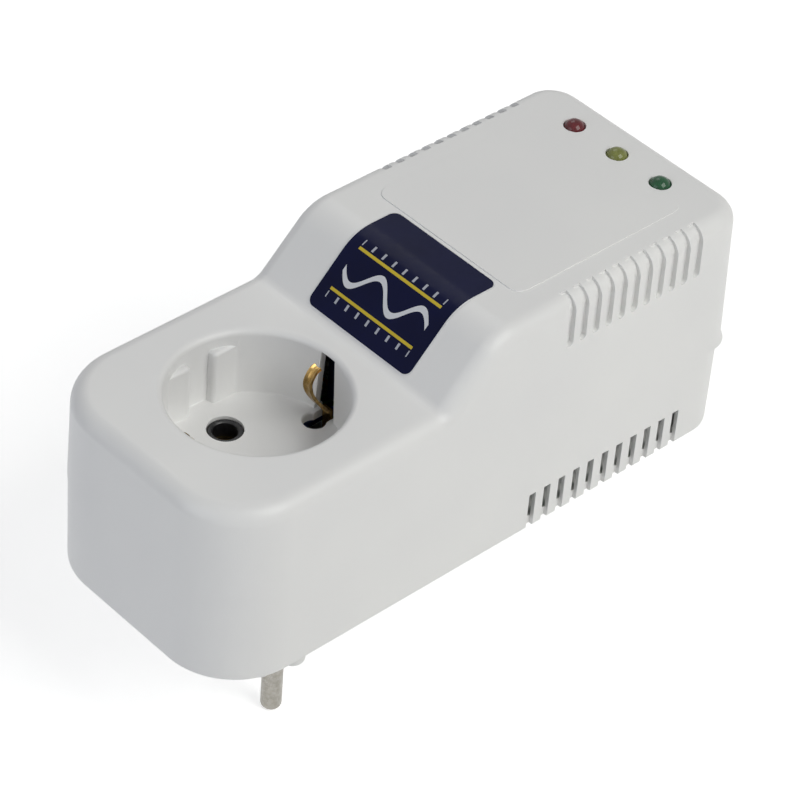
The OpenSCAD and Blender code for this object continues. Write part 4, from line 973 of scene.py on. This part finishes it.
# Brownish gold, streaked along the rolling
SPRING_BRONZE = drawn_metal("rolled phosphor bronze", "927644", "ad905c", 0.3, (1, 1, 0.1))
# Cleaner and yellower than the bronze
BRASS = drawn_metal("rolled brass", "b8954e", "cfae66", 0.33, (0.1, 1, 1))
# Warm grey, with faint marks along the pin from plugging in
PLATED_PIN = drawn_metal("nickel-plated brass", "949189", "a19e98", 0.3, (1, 1, 0.15))
# Bluish grey and evenly clouded
ZINC = drawn_metal("zinc-plated steel", "a9abad", "c2c4c5", 0.3, (1, 1, 1))
# The palest metal, shiny along the lead
TINNED = drawn_metal("tinned copper", "b4b5b5", "cccdcd", 0.28, (1, 1, 0.2))
# Bare and dark grey, dulled by its heat treatment
IRON = drawn_metal("annealed iron", "7d8084", "94979b", 0.36, (1, 1, 0.3))
BOARD = solder_mask()
# Dark orange and glossy, the seams between turns darkened with painted shade. The real wire is finer, and
# is drawn as thick as it needs to be to show
COPPER_TURNS = layered("enamelled copper turns", "4f2412", "b4683a", rough=0.28, pitch_mm=0.3, axis="Z",
                       metallic=0.85)
# Amber: the varnish fills the seams and takes off most of the metal's shine; the seams are still darkened
# with painted shade
TAPED_TURNS = layered("varnished winding", "7d6420", "c9a83e", rough=0.35, pitch_mm=0.35, axis="Z",
                      metallic=0.3)
# Steel sheets half a millimetre thick, dull at their cut edges, the seams between them darkened with
# painted shade
LAMINATIONS = layered("stacked core laminations", "3b3d40", "6e7276", rough=0.42, pitch_mm=0.5, axis="Y",
                      metallic=0.8)
# Unlit, so duller than when they glow
RED_LENS = tinted_epoxy("red tinted epoxy", "6f0c1a", "811321")
YELLOW_LENS = tinted_epoxy("yellow tinted epoxy", "8b9142", "9ba253")
GREEN_LENS = tinted_epoxy("green tinted epoxy", "0e5a31", "136b3c")
# Clear and very slightly wavy along the tube
GLASS = surface("drawn glass", "f4f6f6", "ffffff", cloud_mm=3, rough=0.06, grain_mm=3, depth_mm=0.004,
                IOR=1.5, Transmission_Weight=1.0)

top_shell()
bottom_shell()
label()
carrier()
earth_clip("earth_clip_rear", 1, REAR_LEAN)
earth_clip("earth_clip_front", -1, FRONT_LEAN)
plug_pin("live_pin", -1)
plug_pin("neutral_pin", 1)
lamp("red", RED_LENS)
lamp("yellow", YELLOW_LENS)
lamp("green", GREEN_LENS)
fuse()

# Satin blue, as relays' covers are
BLUE_CASE = moulded("blue moulded polyester", "24477f", "2b5195", 0.35)
# Unpigmented, so creamy and a little waxy
NYLON = moulded("natural nylon", "ded9c9", "e8e4d8", 0.45)
# Shrunk on tight, so smooth and shiny
SLEEVE = moulded("dark sleeving", "1d2126", "262b33", 0.28)
# Dipped and baked: even colour and a soft shine
DIPPED_ORANGE = moulded("orange dipped ceramic", "a8602a", "bd7336", 0.4)
DIPPED_BLUE = moulded("blue dipped epoxy", "264489", "3152a0", 0.38)
# Charcoal and matt, with a finer grain than the other plastics
CHIP_EPOXY = moulded("black transfer-moulded epoxy", "1f2023", "292a2d", 0.55, 0.25)
# Brushed thick and tan
LACQUER = moulded("tan resistor lacquer", "bda97c", "cbb88e", 0.4)
# Satin, lighter than the relay's cover
TRIMMER_BLUE = moulded("blue trimmer body", "27529a", "2f5fae", 0.4)
# Each node, the width of its rounded edges, its material and its slot
SOFTENED = [
    ("carrier_screws", 0.12, ZINC, "screw_steel"),
    ("live_contact", 0.1, BRASS, "contact_brass"),
    ("neutral_contact", 0.1, BRASS, "contact_brass"),
    ("earth_strap", 0.15, BRASS, "contact_brass"),
    ("plug_earth_strap", 0.15, BRASS, "contact_brass"),
    ("pin_clamp", 0.4, BLACK_MOULDING, "black_insulator"),
    ("clamp_screw", 0.12, ZINC, "screw_steel"),
    ("circuit_board", 0.12, BOARD, "board_laminate"),
    ("board_screws", 0.1, ZINC, "screw_steel"),
    ("led_board", 0.12, BOARD, "board_laminate"),
    ("led_board_screws", 0.1, ZINC, "screw_steel"),
    ("led_leads", 0.08, TINNED, "tinned_leads"),
    ("relay_base", 0.2, BLACK_MOULDING, "former_plastic"),
    ("relay_cover", 0.5, BLUE_CASE, "relay_case"),
    ("relay_bobbin", 0.15, BLACK_MOULDING, "former_plastic"),
    ("relay_winding", 0.2, COPPER_TURNS, "enamelled_copper"),
    ("relay_yoke", 0.2, IRON, "iron_parts"),
    ("relay_fixed_contact", 0.1, BRASS, "contact_brass"),
    ("transformer_core", 0.25, LAMINATIONS, "core_steel"),
    ("transformer_bobbin", 0.15, NYLON, "former_plastic"),
    ("transformer_winding", 0.5, TAPED_TURNS, "enamelled_copper"),
    ("filter_capacitor", 0.35, SLEEVE, "can_sleeve"),
    ("small_capacitors", 0.25, DIPPED_ORANGE, "orange_lacquer"),
    ("varistor", 0.6, DIPPED_BLUE, "blue_lacquer"),
    ("fuse_clips", 0.12, BRASS, "contact_brass"),
    ("regulator", 0.2, CHIP_EPOXY, "chip_epoxy"),
    ("comparator_chip", 0.2, CHIP_EPOXY, "chip_epoxy"),
    ("chip_legs", 0.06, TINNED, "tinned_leads"),
    ("resistors", 0.2, LACQUER, "resistor_lacquer"),
    ("diodes", 0.2, CHIP_EPOXY, "chip_epoxy"),
    ("trimmer_bodies", 0.3, TRIMMER_BLUE, "trimmer_blue"),
    ("housing_screws", 0.12, ZINC, "screw_steel"),
]
for node, width, material, slot in SOFTENED:
    softened(node, width, material)
softened("relay_armature", 0.2, IRON, "relay_arm")
softened("relay_leaf", 0.08, SPRING_BRONZE, "relay_arm")
# Pale, so that its slot shows
CREAM = moulded("cream trimmer rotor", "dcd8ca", "e6e3d8", 0.4)
for end in ("low", "high"):
    softened("trimmer_" + end + "_rotor", 0.1, CREAM, end + "_trimmer")

# Extruded smooth, in the usual colours of the mains wires, and grey for the lamps
BROWN = moulded("brown PVC insulation", "6e3a20", "7f4526", 0.42)
BLUE = moulded("blue PVC insulation", "1f3f80", "274a94", 0.42)
GREEN = moulded("green PVC insulation", "4f8a3c", "5f9c48", 0.42)
GREY = moulded("grey PVC insulation", "b9babb", "c8c9ca", 0.42)
wire("live_wire", BROWN)
wire("switched_live_wire", BROWN)
wire("neutral_wire", BLUE)
wire("neutral_tap_wire", BLUE)
wire("earth_wire", GREEN)
wire("led_wires", GREY)


# Camera, light and floor

OBJECT_MIDDLE = Vector((0.04, 0, 0.03))
WHITE = (1, 1, 1, 1)


def camera():
    """The photograph's viewpoint, found from the object's outlines."""
    azimuth, elevation, roll = (math.radians(a) for a in (-45.447, 40.227, 4.907))
    distance, focal_px, frame_px = 759.784, 3482.96, 800
    over_base = 20
    target = Vector((43.189, 1.181, over_base + UNDER_Z)) * MM
    back = Vector((math.sin(azimuth) * math.cos(elevation), -math.cos(azimuth) * math.cos(elevation),
                   math.sin(elevation)))
    level = Vector((math.cos(azimuth), math.sin(azimuth), 0))
    rise = back.cross(level)
    right = math.cos(roll) * level + math.sin(roll) * rise
    above = math.cos(roll) * rise - math.sin(roll) * level
    data = bpy.data.cameras.new("camera")
    data.sensor_width = 36
    data.lens = focal_px * data.sensor_width / frame_px
    data.clip_start = 0.05
    made = bpy.data.objects.new("camera", data)
    turn = Matrix((right, above, back)).transposed().to_4x4()
    made.matrix_world = Matrix.Translation(target + back * distance * MM) @ turn
    SCENE.collection.objects.link(made)
    SCENE.camera = made


def soft_lamp(name, place, size, power, tint):
    """A square soft lamp, its place and size in metres, that faces the object."""
    data = bpy.data.lights.new(name, "AREA")
    data.shape = "SQUARE"
    data.size = size
    data.energy = power
    data.color = colour(tint)[:3]
    made = bpy.data.objects.new(name, data)
    made.location = place
    made.rotation_mode = "QUATERNION"
    made.rotation_quaternion = (Vector(place) - OBJECT_MIDDLE).to_track_quat("Z", "Y")
    SCENE.collection.objects.link(made)


def seen_rays(tree):
    """1 for the camera, and for what gloss and glass show."""
    path = add(tree, "ShaderNodeLightPath").outputs
    sockets = {0: path["Is Camera Ray"], 1: path["Is Glossy Ray"]}
    shown = add(tree, "ShaderNodeMath", sockets, operation="MAXIMUM").outputs[0]
    sockets = {0: shown, 1: path["Is Transmission Ray"]}
    return add(tree, "ShaderNodeMath", sockets, operation="MAXIMUM").outputs[0]


def studio():
    """Plain soft daylight: a dim even world that looks white, a key lamp, a front fill and a back light."""
    SCENE.view_settings.view_transform = "Standard"
    world = bpy.data.worlds.new("studio")
    SCENE.world = world
    world.use_nodes = True
    tree = world.node_tree
    plain = tree.nodes["Background"]
    plain.inputs["Color"].default_value = WHITE
    plain.inputs["Strength"].default_value = 0.14
    white = add(tree, "ShaderNodeBackground", {"Color": WHITE, "Strength": 1})
    mix = add(tree, "ShaderNodeMixShader", {0: seen_rays(tree), 1: plain.outputs[0], 2: white.outputs[0]})
    tree.links.new(mix.outputs[0], tree.nodes["World Output"].inputs["Surface"])
    soft_lamp("key", (0.2, -0.76, 0.8), size=0.7, power=6.3, tint="fffffb")
    soft_lamp("front fill", (-1.1, 0.1, 0.4), size=0.9, power=3.1, tint="eef4ff")
    soft_lamp("back light", (0.35, 0.6, 0.9), size=0.5, power=1.35, tint="ffffff")


def floor():
    """A matt paper sweep just under the pins. The camera, gloss and glass see it lighter than it is lit."""
    half, gap, glow = 2, 0.0002, 0.6
    bm = bmesh.new()
    bmesh.ops.create_grid(bm, x_segments=1, y_segments=1, size=half)
    bmesh.ops.translate(bm, vec=(0, 0, CAD_BOX[0].z - gap), verts=bm.verts)
    sheet = object_of("floor", bm)
    material = surface("matt white sweep", "f1f1f1", "f5f5f5", cloud_mm=30, rough=0.9, grain_mm=30,
                       depth_mm=0.001)
    tree = material.node_tree
    shader = tree.nodes["Principled BSDF"]
    shader.inputs["Emission Color"].default_value = WHITE
    add(tree, "ShaderNodeMath", {0: seen_rays(tree), 1: glow}, {0: shader.inputs["Emission Strength"]},
        operation="MULTIPLY")
    sheet.data.materials.append(material)


camera()
studio()
floor()
